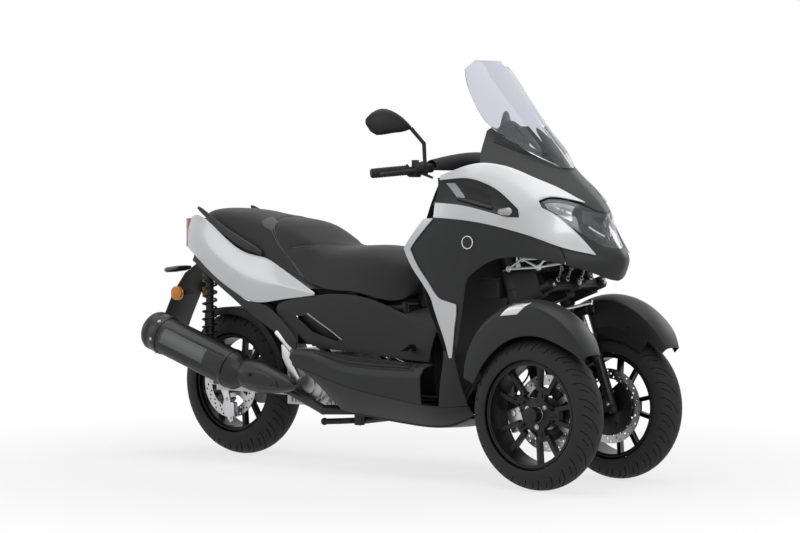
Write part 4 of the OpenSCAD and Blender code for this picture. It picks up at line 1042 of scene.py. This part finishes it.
class SCOOTER_OT_front_end(bpy.types.Operator):
    """Dress the leaning linkage, the fork legs and the front brakes"""

    bl_idname = "scooter.front_end"
    bl_label = "Front End"

    def execute(self, context):
        self.linkage()
        self.bracket()
        for name, side in SIDES.items():
            self.fork(name, side)
        return {"FINISHED"}

    def linkage(self):
        """Bolts, collars and lock links at the pivots of the leaning arms."""
        along = (steered(1, 0, 0) - steered(0, 0, 0)).normalized()
        up = (steered(0, 0, 1) - steered(0, 0, 0)).normalized()
        bolts, collars, boots = [], [], []
        for w in ARMS_W:
            for v in (-FORK_V, 0, FORK_V):
                face = steered(172, v, w)
                collars.append(rod("collar", face - along * 3 * MM, face + along * 5 * MM, 17, 28, round_mm=1.2))
                bolts.append(hex_bolt("arm_bolt", face + along * 5 * MM, along, 7, 7))
            collars += [rod("web", steered(160, v - 46, w), steered(160, v + 46, w), 6, 16) for v in (-74, 74)]
        for v in (-FORK_V, FORK_V):
            bolts.append(hex_bolt("pin_nut", steered(0, v, 792), up, 15, 12))
            boots.append(rod("boot", steered(0, v, 640), steered(0, v, 652), 22, 28, round_mm=2))
            boots += [ring("carrier_rib", steered(0, v, w), up, 26, 2.2, 36) for w in (668, 720, 776)]
        for v in (-96, -40, 40, 96):
            ends = steered(177, v - 20, 702), steered(177, v + 20, 742)
            bolts.append(rod("lock_link", *ends, 3.4, 12))
            bolts += [ring("link_eye", spot, along, 7, 2.6, 20) for spot in ends]
            collars.append(rod("lock_bush", ends[0] - along * 14 * MM, ends[0] + along * 4 * MM, 5, 16))
        add("linkage_bolts", bolts, "steel", "steel")
        add("linkage_collars", collars, "frame_metal", "black_metal")
        add("linkage_boots", boots, "rubber", "rubber")

    def bracket(self):
        """Pale lattice that carries the nose, the screen's trims, and the dark boxes under the panels."""
        spots = {"a": ahead(1431, -190, 754), "b": ahead(1488, -186, 791), "c": ahead(1576, -172, 793),
                 "d": ahead(1637, -130, 781), "e": ahead(1552, -178, 762)}
        lattice = [rod("lattice", spots[one], spots[two], 4.6, 12)
                   for one, two in ("ae", "ed", "ab", "be", "bc", "ce", "cd")]
        lattice += [ring("eye", spot, (0, 1, 0), 8, 3.4, 20) for spot in spots.values()]
        add("nose_lattice", lattice, "pale_alloy", "casting", both=True)
        trim = ribbon([(1338, -154), (1409, -126), (1467, -87), (1508, -42)], 10, 40)
        trim = laid("trim", trim, "top", "upper_cowl", 3.0, 1.0)
        add("screen_trims", [trim], "inner", "black_plastic", both=True)
        boxes = [block("junction_box", ahead(1292, -184, 648), ahead(1384, -128, 712), 7),
                 block("box_lid", ahead(1298, -187, 698), ahead(1378, -125, 717), 4),
                 block("tail_inner", ahead(196, -152, 556), ahead(424, -147, 634), 2)]
        add("junction_boxes", boxes, "moulding", "black_plastic", both=True)

    def arc(self, name, side, y, thickness, inner, outer, first, last):
        """A flat sector round a front axle, from angle to angle in degrees, so far from the middle plane."""
        angles = [math.radians(first + (last - first) * k / 24) for k in range(25)]
        outline = [(outer * math.cos(a), outer * math.sin(a)) for a in angles]
        outline += [(inner * math.cos(a), inner * math.sin(a)) for a in reversed(angles)]
        return plate(name, outline, thickness, upright(FRONT_AXLE.x, side * y * MM, FRONT_AXLE.z, side), 0.8)

    def fork(self, name, side):
        """Bright tubes, seals, guard, brake pipe and caliper on one fork."""
        body = "fork_" + name
        leg_v = side * FORK_V
        axle_u, axle_w = 25.7, 269.5
        bright, dark = [], []
        # Columns: name, group, low and high end, radius, sides, edge radius
        tubes = (("stanchion", bright, 518, 597, 15.4, 32, 0), ("seal", dark, 510, 524, 20.6, 32, 2),
                 ("band", dark, 440, 450, 20, 32, 1), ("foot", dark, 236, 262, 16, 28, 3))
        for u in (axle_u - 35, axle_u + 35):
            for part, group, low, high, radius, sides, edge in tubes:
                ends = steered(u, leg_v, low), steered(u, leg_v, high)
                group.append(rod(part, *ends, radius, sides, round_mm=edge))
            bright.append(hex_bolt("clamp_bolt", steered(u, leg_v - side * 19, 270), (0, -side, 0), 6, 6))
        disc_v = leg_v + side * 35.5
        face_v = disc_v + side * 25

        def box(part, low_u, high_u, half, low_w, high_w, edge):
            return block(part, Vector((axle_u + low_u, disc_v - half, axle_w + low_w)) * MM,
                         Vector((axle_u + high_u, disc_v + half, axle_w + high_w)) * MM, edge)

        cast = [lean(carve(box("caliper", -156, -92, 25, -26, 56, 6), box("slot", -140, -60, 4.5, -40, 70, 0)))]
        for w in (axle_w - 8, axle_w + 38):
            ends = (steered(axle_u - 124, face_v + side * out, w) for out in (0, 5))
            cast.append(rod("piston", *ends, 13, 28, round_mm=1.5))
            bright.append(hex_bolt("caliper_bolt", steered(axle_u - 100, face_v, w), (0, side, 0), 4.5, 5))
        dark.append(tube("brake_pipe", spread([
            steered(axle_u - 130, disc_v - side * 12, axle_w + 54),
            steered(axle_u - 120, disc_v - side * 18, axle_w + 110), steered(axle_u - 62, leg_v - side * 8, 430),
            steered(axle_u - 60, leg_v - side * 6, 520), steered(axle_u - 56, leg_v, 600)], 14), 3.2))
        guard = [self.arc("guard", side, 169, 5, 36, 104, -165, 62)]
        for angle in (-2.2, -1.1, 0.0):
            spot = Vector((FRONT_AXLE.x, 0, FRONT_AXLE.z)) + spoke(angle) * 72 * MM
            ends = (spot + Vector((0, side * y * MM, 0)) for y in (170, 165))
            guard.append(rod("boss", *ends, 8, 20, round_mm=1))
        liner = self.arc("liner", side, 169.5, 2.5, 238, 300, 54, 138)
        add("disc_guard_" + name, guard, "black_metal", "black_metal", body)
        add("fender_liner_" + name, [liner], "moulding", "black_plastic", body)
        add("fork_tubes_" + name, bright, "chrome", "steel", body)
        add("fork_rubbers_" + name, dark, "rubber", "rubber", body)
        add("caliper_" + name, [smooth(piece) for piece in cast], "pale_alloy", "casting", body)


class SCOOTER_OT_lamps(bpy.types.Operator):
    """Add the lamps' lenses, reflectors and light guides"""

    bl_idname = "scooter.lamps"
    bl_label = "Lamps"

    def execute(self, context):
        dress_all((
            ("headlamp_lens", "lens", "clear_lens", 2, 0),
            ("headlamp_housing", "inner", "black_plastic", 2, 0),
            ("screen", "screen", "screen_glass", 2, 0),
            ("front_indicators", "indicator", "indicator_lens", 1, 0),
            ("rear_indicators", "smoked", "rear_indicator_lens", 2, 0),
            ("tail_lamp", "red", "red_lens", 2, 0),
            ("reflectors", "amber", "amber", 0, 1.0),
        ))
        self.headlamp()
        lines = [laid("tail_guide", ribbon([(-96, z), (0, z - 3), (96, z)], 7, 20), "behind", "tail_lamp", 3, 0.6)
                 for z in (822, 846, 872)]
        add("tail_guides", lines, "red_bright", "red_lens")
        return {"FINISHED"}

    def headlamp(self):
        """Reflector wing and bowls, painted light and dark as painted reflection and painted shade, projector
        lenses and the light guides behind the lens.
        """
        wing = patch([(-158, 962), (-120, 934), (-96, 918)], [(-160, 980), (-126, 984), (-88, 972)])
        bowl = patch([(-66, 912), (-40, 900), (-14, 892)], [(-70, 958), (-40, 950), (-14, 942)])
        foot = patch([(-52, 884), (-30, 862), (-12, 850)], [(-58, 900), (-34, 886), (-12, 876)])
        wing = laid("wing", wing, "front", "headlamp_housing", 3, 0.5)
        bowls = [laid("bowl", rows, "front", "headlamp_housing", 4, 0.5) for rows in (bowl, foot)]
        # The wing reflector is painted light as a painted reflection; the bowl and foot reflectors are painted
        # near black as painted shade inside the lamp.
        add("lamp_wings_painted_highlight", [wing], "wing_metal_painted_highlight", "steel", both=True)
        add("lamp_bowls_painted_shade", bowls, "reflector", "steel", both=True)
        paths = ([(1544, -170, 978), (1584, -126, 986), (1630, -84, 974), (1662, -62, 952)],
                 [(1680, -62, 902), (1698, -42, 884), (1716, -18, 868)])
        guides = [tube("guide", spread([ahead(*spot) for spot in path], 16), 3.0) for path in paths]
        add("lamp_guides", guides, "guide", "clear_lens", both=True)
        eyes = [turned("eye", [(0, 12), (6, 10.4), (11, 6), (13, 0)], ahead(*spot), (1, -0.25, 0.05), 28)
                for spot in ((1668, -46, 926), (1690, -30, 868), (1604, -112, 956))]
        add("lamp_projectors", eyes, "glass_eye", "clear_lens", both=True)


class SCOOTER_OT_seat(bpy.types.Operator):
    """Round the seat, sink its seams and sew them"""

    bl_idname = "scooter.seat"
    bl_label = "Seat"

    def execute(self, context):
        settings = context.scene.scooter_seat
        piece = dressed("seat", "vinyl", "seat_cover", 3, 0, 60)
        arch = [(470, -180, 694), (415, -172, 744), (333, -158, 808), (277, -130, 881), (262, -70, 914),
                (258, 0, 917)]
        step = [(392, -158, 804), (484, -132, 815), (522, -69, 817), (557, -20, 813), (560, 0, 813)]
        nose = [(842, -118, 806), (866, -60, 800), (872, 0, 798)]
        seams = []
        for half in (arch, step, nose):
            whole = half + [(x, -y, z) for x, y, z in reversed(half[:-1])]
            seams.append(spread([ahead(*spot) for spot in whole], 90))
        self.sink(piece, seams, settings)
        twin = [spot + Vector((-16, 0, 12)) * MM for spot in seams[0]]
        threads = [self.thread(piece, seam) for seam in (seams[0], twin, seams[1])]
        add("seat_threads", threads, "thread", "seat_cover", "seat")
        insert = patch([(206, -122), (236, -136), (276, -141)], [(222, -74), (246, -88), (280, -104)])
        insert = laid("insert", insert, "top", "seat", 2.4, 0.8)
        add("seat_inserts", [insert], "vinyl_pale", "seat_cover", "seat", both=True)
        return {"FINISHED"}

    def sink(self, piece, seams, settings):
        """Pulls the cover in along the seams."""
        spots = [spot for seam in seams for spot in seam]
        fade_out = 3
        moves = []
        for vertex in piece.data.vertices:
            near = min((vertex.co - spot).length for spot in spots) / settings.seam_width
            if near < fade_out:
                moves.append((vertex.index, vertex.normal * settings.seam_depth * math.exp(-near ** 2)))
        for index, move in moves:
            piece.data.vertices[index].co -= move

    def thread(self, piece, seam):
        """A line of thread on the cover."""
        line = []
        for spot in seam:
            place, normal = piece.closest_point_on_mesh(spot)[1:3]
            line.append(place + normal * 0.3 * MM)
        return tube("thread", line, 0.9, 1)


class SCOOTER_OT_shocks(bpy.types.Operator):
    """Wind the rear springs"""

    bl_idname = "scooter.shocks"
    bl_label = "Rear Shocks"

    def execute(self, context):
        low, high = ahead(-58, -130, 378), ahead(-52, -130, 728)
        way = high - low
        up = way.normalized()
        dark = [self.coil(low + way * 0.2, low + way * 0.88, 25.5 * MM, 4.2 * MM, 8)]
        # Columns: name, where it starts and ends along the shock, radius, sides, edge radius
        for name, first, last, radius, sides, edge in (
                ("damper", 0.12, 0.5, 19, 32, 2), ("collar", 0.18, 0.205, 29, 36, 1.5),
                ("top_cup", 0.875, 0.90, 29, 36, 1.5), ("bump_stop", 0.78, 0.88, 15, 28, 2),
                ("dust_boot", 0.46, 0.86, 15, 28, 2)):
            dark.append(rod(name, low + way * first, low + way * last, radius, sides, round_mm=edge))
        bright = [rod("piston_rod", low + way * 0.4, low + way * 0.95, 7, 24)]
        across = Vector((0, 14 * MM, 0))
        for spot, inwards in ((low, way), (high, -way)):
            dark.append(rod("eye", spot - across, spot + across, 13, 28, round_mm=2))
            dark.append(rod("shank", spot - up * 2 * MM, spot + inwards * 0.13, 10, 20))
            bright.append(hex_bolt("eye_bolt", spot - across, (0, -1, 0), 7, 0.1))
        add("rear_shocks_sprung", dark, "black_metal", "black_metal", both=True, replaced=("rear_shocks",))
        add("shock_rods", bright, "chrome", "steel", both=True)
        return {"FINISHED"}

    def coil(self, start, end, radius, wire, turns):
        """A coil spring from place to place."""
        rest()
        bpy.ops.mesh.primitive_circle_add(vertices=12, radius=wire, location=(radius, 0, 0),
                                          rotation=(math.pi / 2, 0, 0))
        piece = settle("coil")
        modify(piece, "SCREW", angle=math.tau, screw_offset=(end - start).length / turns, iterations=turns,
               steps=32, render_steps=32, use_normal_calculate=True)
        piece.data.transform(Matrix.Translation(start) @ pointing(end - start).to_matrix().to_4x4())
        edit(piece)
        cleaned()
        return smooth(piece, 60)


class SCOOTER_OT_rear_end(bpy.types.Operator):
    """Dress the muffler, the engine, the rear brake and the footrests"""

    bl_idname = "scooter.rear_end"
    bl_label = "Rear End"

    def execute(self, context):
        self.muffler()
        self.engine()
        self.brake()
        self.footrests()
        lamp = block("plate_lamp", ahead(-312, -26, 598), ahead(-288, 26, 618), 4)
        add("plate_lamp", [smooth(lamp)], "inner", "black_plastic")
        return {"FINISHED"}

    def muffler(self):
        """End cap, band, bolts, plate and the raised panel on the cover."""
        tilt = math.radians(17.8)
        cos, sin = math.cos(tilt), math.sin(tilt)
        front = (192, 338)
        start = ahead(front[0], -238, front[1])
        back = Vector((-cos, 0, sin))
        cap = turned("cap", [
            (74.5, 380), (76, 384), (76, 410), (74, 414), (74, 428), (76, 431), (76, 446), (70, 458), (62, 466),
            (50, 468), (26, 464), (24, 470), (19, 471)], start, back, 64)
        band = turned("band", [(72.4, 24), (75, 27), (75, 40), (72.4, 43)], start, back, 64)
        add("muffler_cap", [cap, band], "exhaust_dark", "exhaust_metal")
        bolts = []
        for angle in (2.3, 3.3, 4.3):
            out = Vector((sin * math.sin(angle), math.cos(angle), cos * math.sin(angle)))
            bolts.append(hex_bolt("cap_bolt", start + back * 397 * MM + out * 76 * MM, out, 5, 4))
        add("muffler_bolts", bolts, "steel", "steel")
        side = [[(front[0] - cos * h + sin * v, front[1] + sin * h + cos * v) for h in range(116, 345, 12)]
                for v in (-6, 6, 18, 30, 40, 47)]
        add("muffler_plate", [laid("plate", side, "side", "muffler_cover", 3, 0.8)], "shield", "shield_metal")
        panel = patch([(268, 300), (340, 292), (412, 290)], [(262, 352), (332, 344), (404, 318)], 20, 8)
        add("pod_panel", [laid("panel", panel, "side", "muffler_cover", 8, 2.5)], "exhaust_dark", "exhaust_metal")
        ends = [hex_bolt("pod_bolt", spot, (0.2, -1, 0.1), 5, 4)
                for spot in (ahead(292, -286, 334), ahead(388, -264, 300))]
        add("pod_bolts", ends, "black_metal", "black_metal")

    def engine(self):
        """Crankcase cover with its bolts, ribs and drain, and the belt's cover on the left."""
        hub, out = ahead(470, -140, 300), Vector((0, -1, 0))
        left, left_out = ahead(482, 186, 300), Vector((0, 1, 0))
        cover = [(83, -2), (84, 4), (80, 8), (70, 8), (66, 14), (40, 17), (36, 22), (20, 24), (0, 24)]
        case = [turned("cover", cover, hub, out)]
        case += [rod("rib", hub + (out * 8 + spoke(a) * 26) * MM, hub + (out * 5 + spoke(a) * 78) * MM, 4, 10)
                 for a in (3.5, 4.1, 4.7, 5.3, 5.9)]
        case += [block("fin", ahead(x, -99, 222), ahead(x + 6, -92, 268), 1.5) for x in range(330, 610, 18)]
        case.append(hex_bolt("drain", ahead(520, -95, 240), out, 11, 10))
        add("crankcase_cover", case, "alloy", "casting")
        bolts = [hex_bolt("case_bolt", hub + (out * 8 + spoke(math.tau * k / 9) * 76) * MM, out, 4.6, 5)
                 for k in range(9)]
        bolts += [hex_bolt("belt_bolt", left + spoke(math.tau * k / 8) * 94 * MM, left_out, 4.6, 5)
                  for k in range(8)]
        add("case_bolts", bolts, "steel", "steel")
        rim = turned("belt_rim", [(103, -2), (103, 3), (98, 5), (84, 5), (80, 2), (0, 2)], left, left_out)
        tail = turned("belt_tail", [(89, -2), (89, 3), (84, 5), (60, 5), (56, 2), (0, 2)],
                      Vector((REAR_AXLE.x, 186 * MM, REAR_AXLE.z)), left_out)
        add("belt_cover", [rim, tail], "moulding", "black_plastic")

    def brake(self):
        """Rear caliper on its bright bracket."""
        outline = [(-26, -4), (-10, 20), (14, 18), (20, -10), (34, -60), (50, -138), (36, -148), (22, -136),
                   (4, -60)]
        bracket = plate("bracket", outline, 9, upright(REAR_AXLE.x, -104 * MM, REAR_AXLE.z), 1.5)
        caliper = block("caliper", ahead(6, -112, 150), ahead(52, -88, 206), 5)
        add("rear_caliper", [bracket, smooth(caliper)], "pale_alloy", "casting")
        bolts = [hex_bolt("bracket_bolt", ahead(x, -113, z), (0, -1, 0), 5.5, 5)
                 for x, z in ((0, 282), (38, 144), (16, 216))]
        add("bracket_bolts", bolts, "steel", "steel")

    def footrests(self):
        """Folded passenger pegs and their cast hangers."""
        outline = [(384, 446), (420, 452), (432, 424), (424, 400), (448, 366), (474, 330), (462, 312), (436, 318),
                   (412, 360), (388, 398)]
        hanger = plate("hanger", outline, 14, upright(REAR_AXLE.x, -196 * MM, 0), 2.5)
        peg = rod("peg", ahead(358, -206, 492), ahead(438, -206, 428), 11, 20, 14, 3)
        add("passenger_pegs", [hanger, smooth(peg)], "pale_alloy", "casting", both=True)


class SCOOTER_OT_controls(bpy.types.Operator):
    """Add the ribbed grips, switches, mirror glass and instruments"""

    bl_idname = "scooter.controls"
    bl_label = "Controls"

    def execute(self, context):
        dressed("grips", "rubber", "rubber", 0, 0)
        start, end = ahead(1062, -250, 1098), ahead(975, -385, 1084)
        way = end - start
        along = way.normalized()
        ribs = [ring("rib", start + way * (0.24 + 0.06 * k), along, 17.0, 1.3, 32) for k in range(12)]
        ribs.append(ring("flange", start + way * 0.185, along, 19, 2.6, 32))
        add("grip_ribs", ribs, "rubber", "rubber", "handlebar", both=True)
        switches = [
            rod("bar_end", start + way * 0.995, end + along * 4 * MM, 15, 28, round_mm=1.5),
            ring("end_groove", start + way * 0.985, along, 15, 1.6, 32),
            rod("switch_box", start - way * 0.02, start + way * 0.045, 21, 28, round_mm=4),
            block("switch_pod", ahead(1034, -262, 1070), ahead(1078, -234, 1108), 6),
            rod("cable_boot", ahead(1076, -240, 1086), ahead(1112, -214, 1068), 6, 16, 4),
            rod("switch_case", ahead(1082, -209, 1107), ahead(1063, -248, 1098), 23, 28, round_mm=5),
            block("master_cylinder", ahead(1072, -238, 1086), ahead(1106, -198, 1116), 7),
            rod("lever_pivot", ahead(1090, -226, 1080), ahead(1090, -226, 1124), 7, 20, round_mm=1.5)]
        add("switchgear", [smooth(each) for each in switches], "moulding", "black_plastic", "handlebar", both=True)
        keys = [block("switch_key", ahead(1030, y, z), ahead(1036, y + 7, z + 6), 1.5)
                for y, z in ((-256, 1092), (-247, 1083))]
        add("switch_keys", keys, "pale", "steel", "handlebar", both=True)
        glass = patch([(-302, 1246), (-350, 1232), (-386, 1236)], [(-302, 1268), (-345, 1300), (-388, 1284)])
        glass = laid("glass", glass, "behind", "mirrors", 2, 0.4)
        add("mirror_glasses", [glass], "glass", "steel", "handlebar", both=True)
        self.instruments()
        return {"FINISHED"}

    def instruments(self):
        """Display, glove box lids and key switch on the rider's side."""
        display = patch([(-62, 1196), (0, 1194), (62, 1196)], [(-52, 1240), (0, 1250), (52, 1240)])
        add("display", [laid("screen", display, "rider", "dash_hood", 3, 0.6)], "display", "black_plastic")
        lid = patch([(-212, 700), (-110, 690)], [(-226, 860), (-104, 868)])
        latch = patch([(-190, 838), (-150, 838)], [(-190, 852), (-150, 852)], 8, 3)
        lids = [laid("lid", lid, "rider", "leg_shield", 5, 1.5),
                laid("latch", latch, "rider", "leg_shield", 10, 1.5)]
        add("glove_lids", lids, "inner", "black_plastic", both=True)
        key = [rod("key_switch", ahead(1098, 60, 880), ahead(1084, 60, 880), 19, 32, round_mm=2),
               block("key_slot", ahead(1082, 58, 868), ahead(1086, 62, 892), 0.8)]
        add("ignition_switch", [smooth(each) for each in key], "black_metal", "black_metal")


class SCOOTER_OT_trim(bpy.types.Operator):
    """Lay badges, accents, mats and edge lines on the panels"""

    bl_idname = "scooter.trim"
    bl_label = "Trim"

    def execute(self, context):
        self.pockets()
        self.badge()
        for name, side in SIDES.items():
            self.fender(name, side)
        self.mats()
        self.vents()
        return {"FINISHED"}

    def pockets(self):
        """Pale accent, rib and dark recess in the pocket of each indicator."""
        accent = patch([(1267, 999), (1300, 999)], [(1209, 1051), (1249, 1051)], 8, 8)
        rib = ribbon([(1268, 998), (1340, 981), (1408, 965)], 9, 20)
        recess = patch([(1296, 1004), (1340, 992), (1400, 976)], [(1276, 1044), (1330, 1036), (1384, 1012)])
        # Columns: name, rows, thickness, edge radius, finish, slot
        for name, rows, thickness, edge, finish, slot in (
                ("pocket_accents", accent, 7, 1, "pale", "silver_paint"),
                ("pocket_ribs", rib, 12, 2, "graphite", "dark_plastic"),
                ("pocket_recesses", recess, 2, 0.5, "inner", "black_plastic")):
            add(name, [laid(name, rows, "side", "side_fairings", thickness, edge)], finish, slot, both=True)

    def badge(self):
        """A plain disc in a bright ring on each side."""
        spot, out = ahead(1333, -297, 847), Vector((0.10, -1, 0.02))
        disc = turned("disc", [(0, 2.4), (18, 2.2), (20, 0)], spot, out, 40)
        add("badge_discs", [disc], "graphite", "dark_plastic", both=True)
        rim = ring("rim", spot + out * 0.6 * MM, out, 21.5, 2.2, 48)
        add("badge_rings", [rim], "pale_alloy", "silver_paint", both=True)

    def fender(self, name, side):
        """A blank bright plate on the shoulder of a fender, and the seam behind it."""
        blank = patch([(1478, 598), (1552, 606)], [(1522, 640), (1598, 646)], 10, 6)
        seam = ribbon([(1600, 640), (1672, 612), (1740, 570), (1790, 522)], 3, 30)
        for part, rows, thickness, edge, finish, slot in (
                ("fender_plate_", blank, 3, 0.6, "pale_alloy", "silver_paint"),
                ("fender_seam_", seam, 1.6, 0.3, "inner", "dark_plastic")):
            piece = laid(part, rows, "side", "fender_right", thickness, edge)
            add(part + name, [flipped(piece) if side == LEFT else piece], finish, slot, "fork_" + name)

    def mats(self):
        """Rubber mats with ribs on the footboards."""
        rows = patch([(600, -272), (840, -274), (1070, -274)], [(600, -244), (840, -238), (1070, -232)], 30, 4)
        mats = [laid("mat", rows, "top", "footboards", 4, 0.8)]
        mats += [laid("rib", ribbon([(620, y), (1050, y + 1)], 3.4, 30), "top", "footboards", 8, 0.8)
                 for y in (-268, -261, -254, -247)]
        add("foot_mats", mats, "rubber", "rubber", both=True)

    def vents(self):
        """Bright edge under each side panel's vent, and its dark slats."""
        edge = laid("edge", ribbon([(700, 478), (640, 512), (526, 567)], 4, 24), "side", "side_panels", 7, 0.8)
        add("vent_edges", [edge], "pale", "silver_paint", both=True)
        back = [block("vent_back", ahead(462, -204, 452), ahead(728, -201, 600), 1)]
        back += [rod("slat", ahead(534 + 12 * k, -208, 556 - 14 * k), ahead(672 - 12 * k, -208, 490 - 14 * k),
                     4, 12) for k in range(2)]
        add("vent_backs", back, "inner", "black_plastic", both=True)


PARTS = (
    SCOOTER_OT_stage, SCOOTER_OT_panels, SCOOTER_OT_running_gear, SCOOTER_OT_tyres, SCOOTER_OT_discs,
    SCOOTER_OT_wheels, SCOOTER_OT_front_end, SCOOTER_OT_lamps, SCOOTER_OT_seat, SCOOTER_OT_shocks,
    SCOOTER_OT_rear_end, SCOOTER_OT_controls, SCOOTER_OT_trim,
)


class SCOOTER_PT_parts(bpy.types.Panel):
    """Lists the scooter's operators and settings"""

    bl_idname = "SCOOTER_PT_parts"
    bl_label = "Leaning Scooter"
    bl_space_type = "VIEW_3D"
    bl_region_type = "UI"
    bl_category = "Scooter"

    def draw(self, context):
        column = self.layout.column(align=True)
        for part in PARTS:
            column.operator(part.bl_idname)
        for group in SETTINGS:
            column.separator()
            settings = getattr(context.scene, group)
            for key in settings.bl_rna.properties.keys():
                if key not in ("rna_type", "name"):
                    column.prop(settings, key)


SETTINGS = {
    "scooter_paint": PaintSettings,
    "scooter_tread": TreadSettings,
    "scooter_seat": SeatSettings,
    "scooter_stage": StageSettings,
}
CLASSES = (*SETTINGS.values(), *PARTS, SCOOTER_PT_parts)


def register():
    for each in CLASSES:
        bpy.utils.register_class(each)
    for name, group in SETTINGS.items():
        setattr(bpy.types.Scene, name, PointerProperty(type=group))


def unregister():
    for name in SETTINGS:
        delattr(bpy.types.Scene, name)
    for each in reversed(CLASSES):
        bpy.utils.unregister_class(each)


def main():
    register()
    for part in PARTS:
        family, action = part.bl_idname.split(".")
        getattr(getattr(bpy.ops, family), action)()


if __name__ == "__main__":
    main()
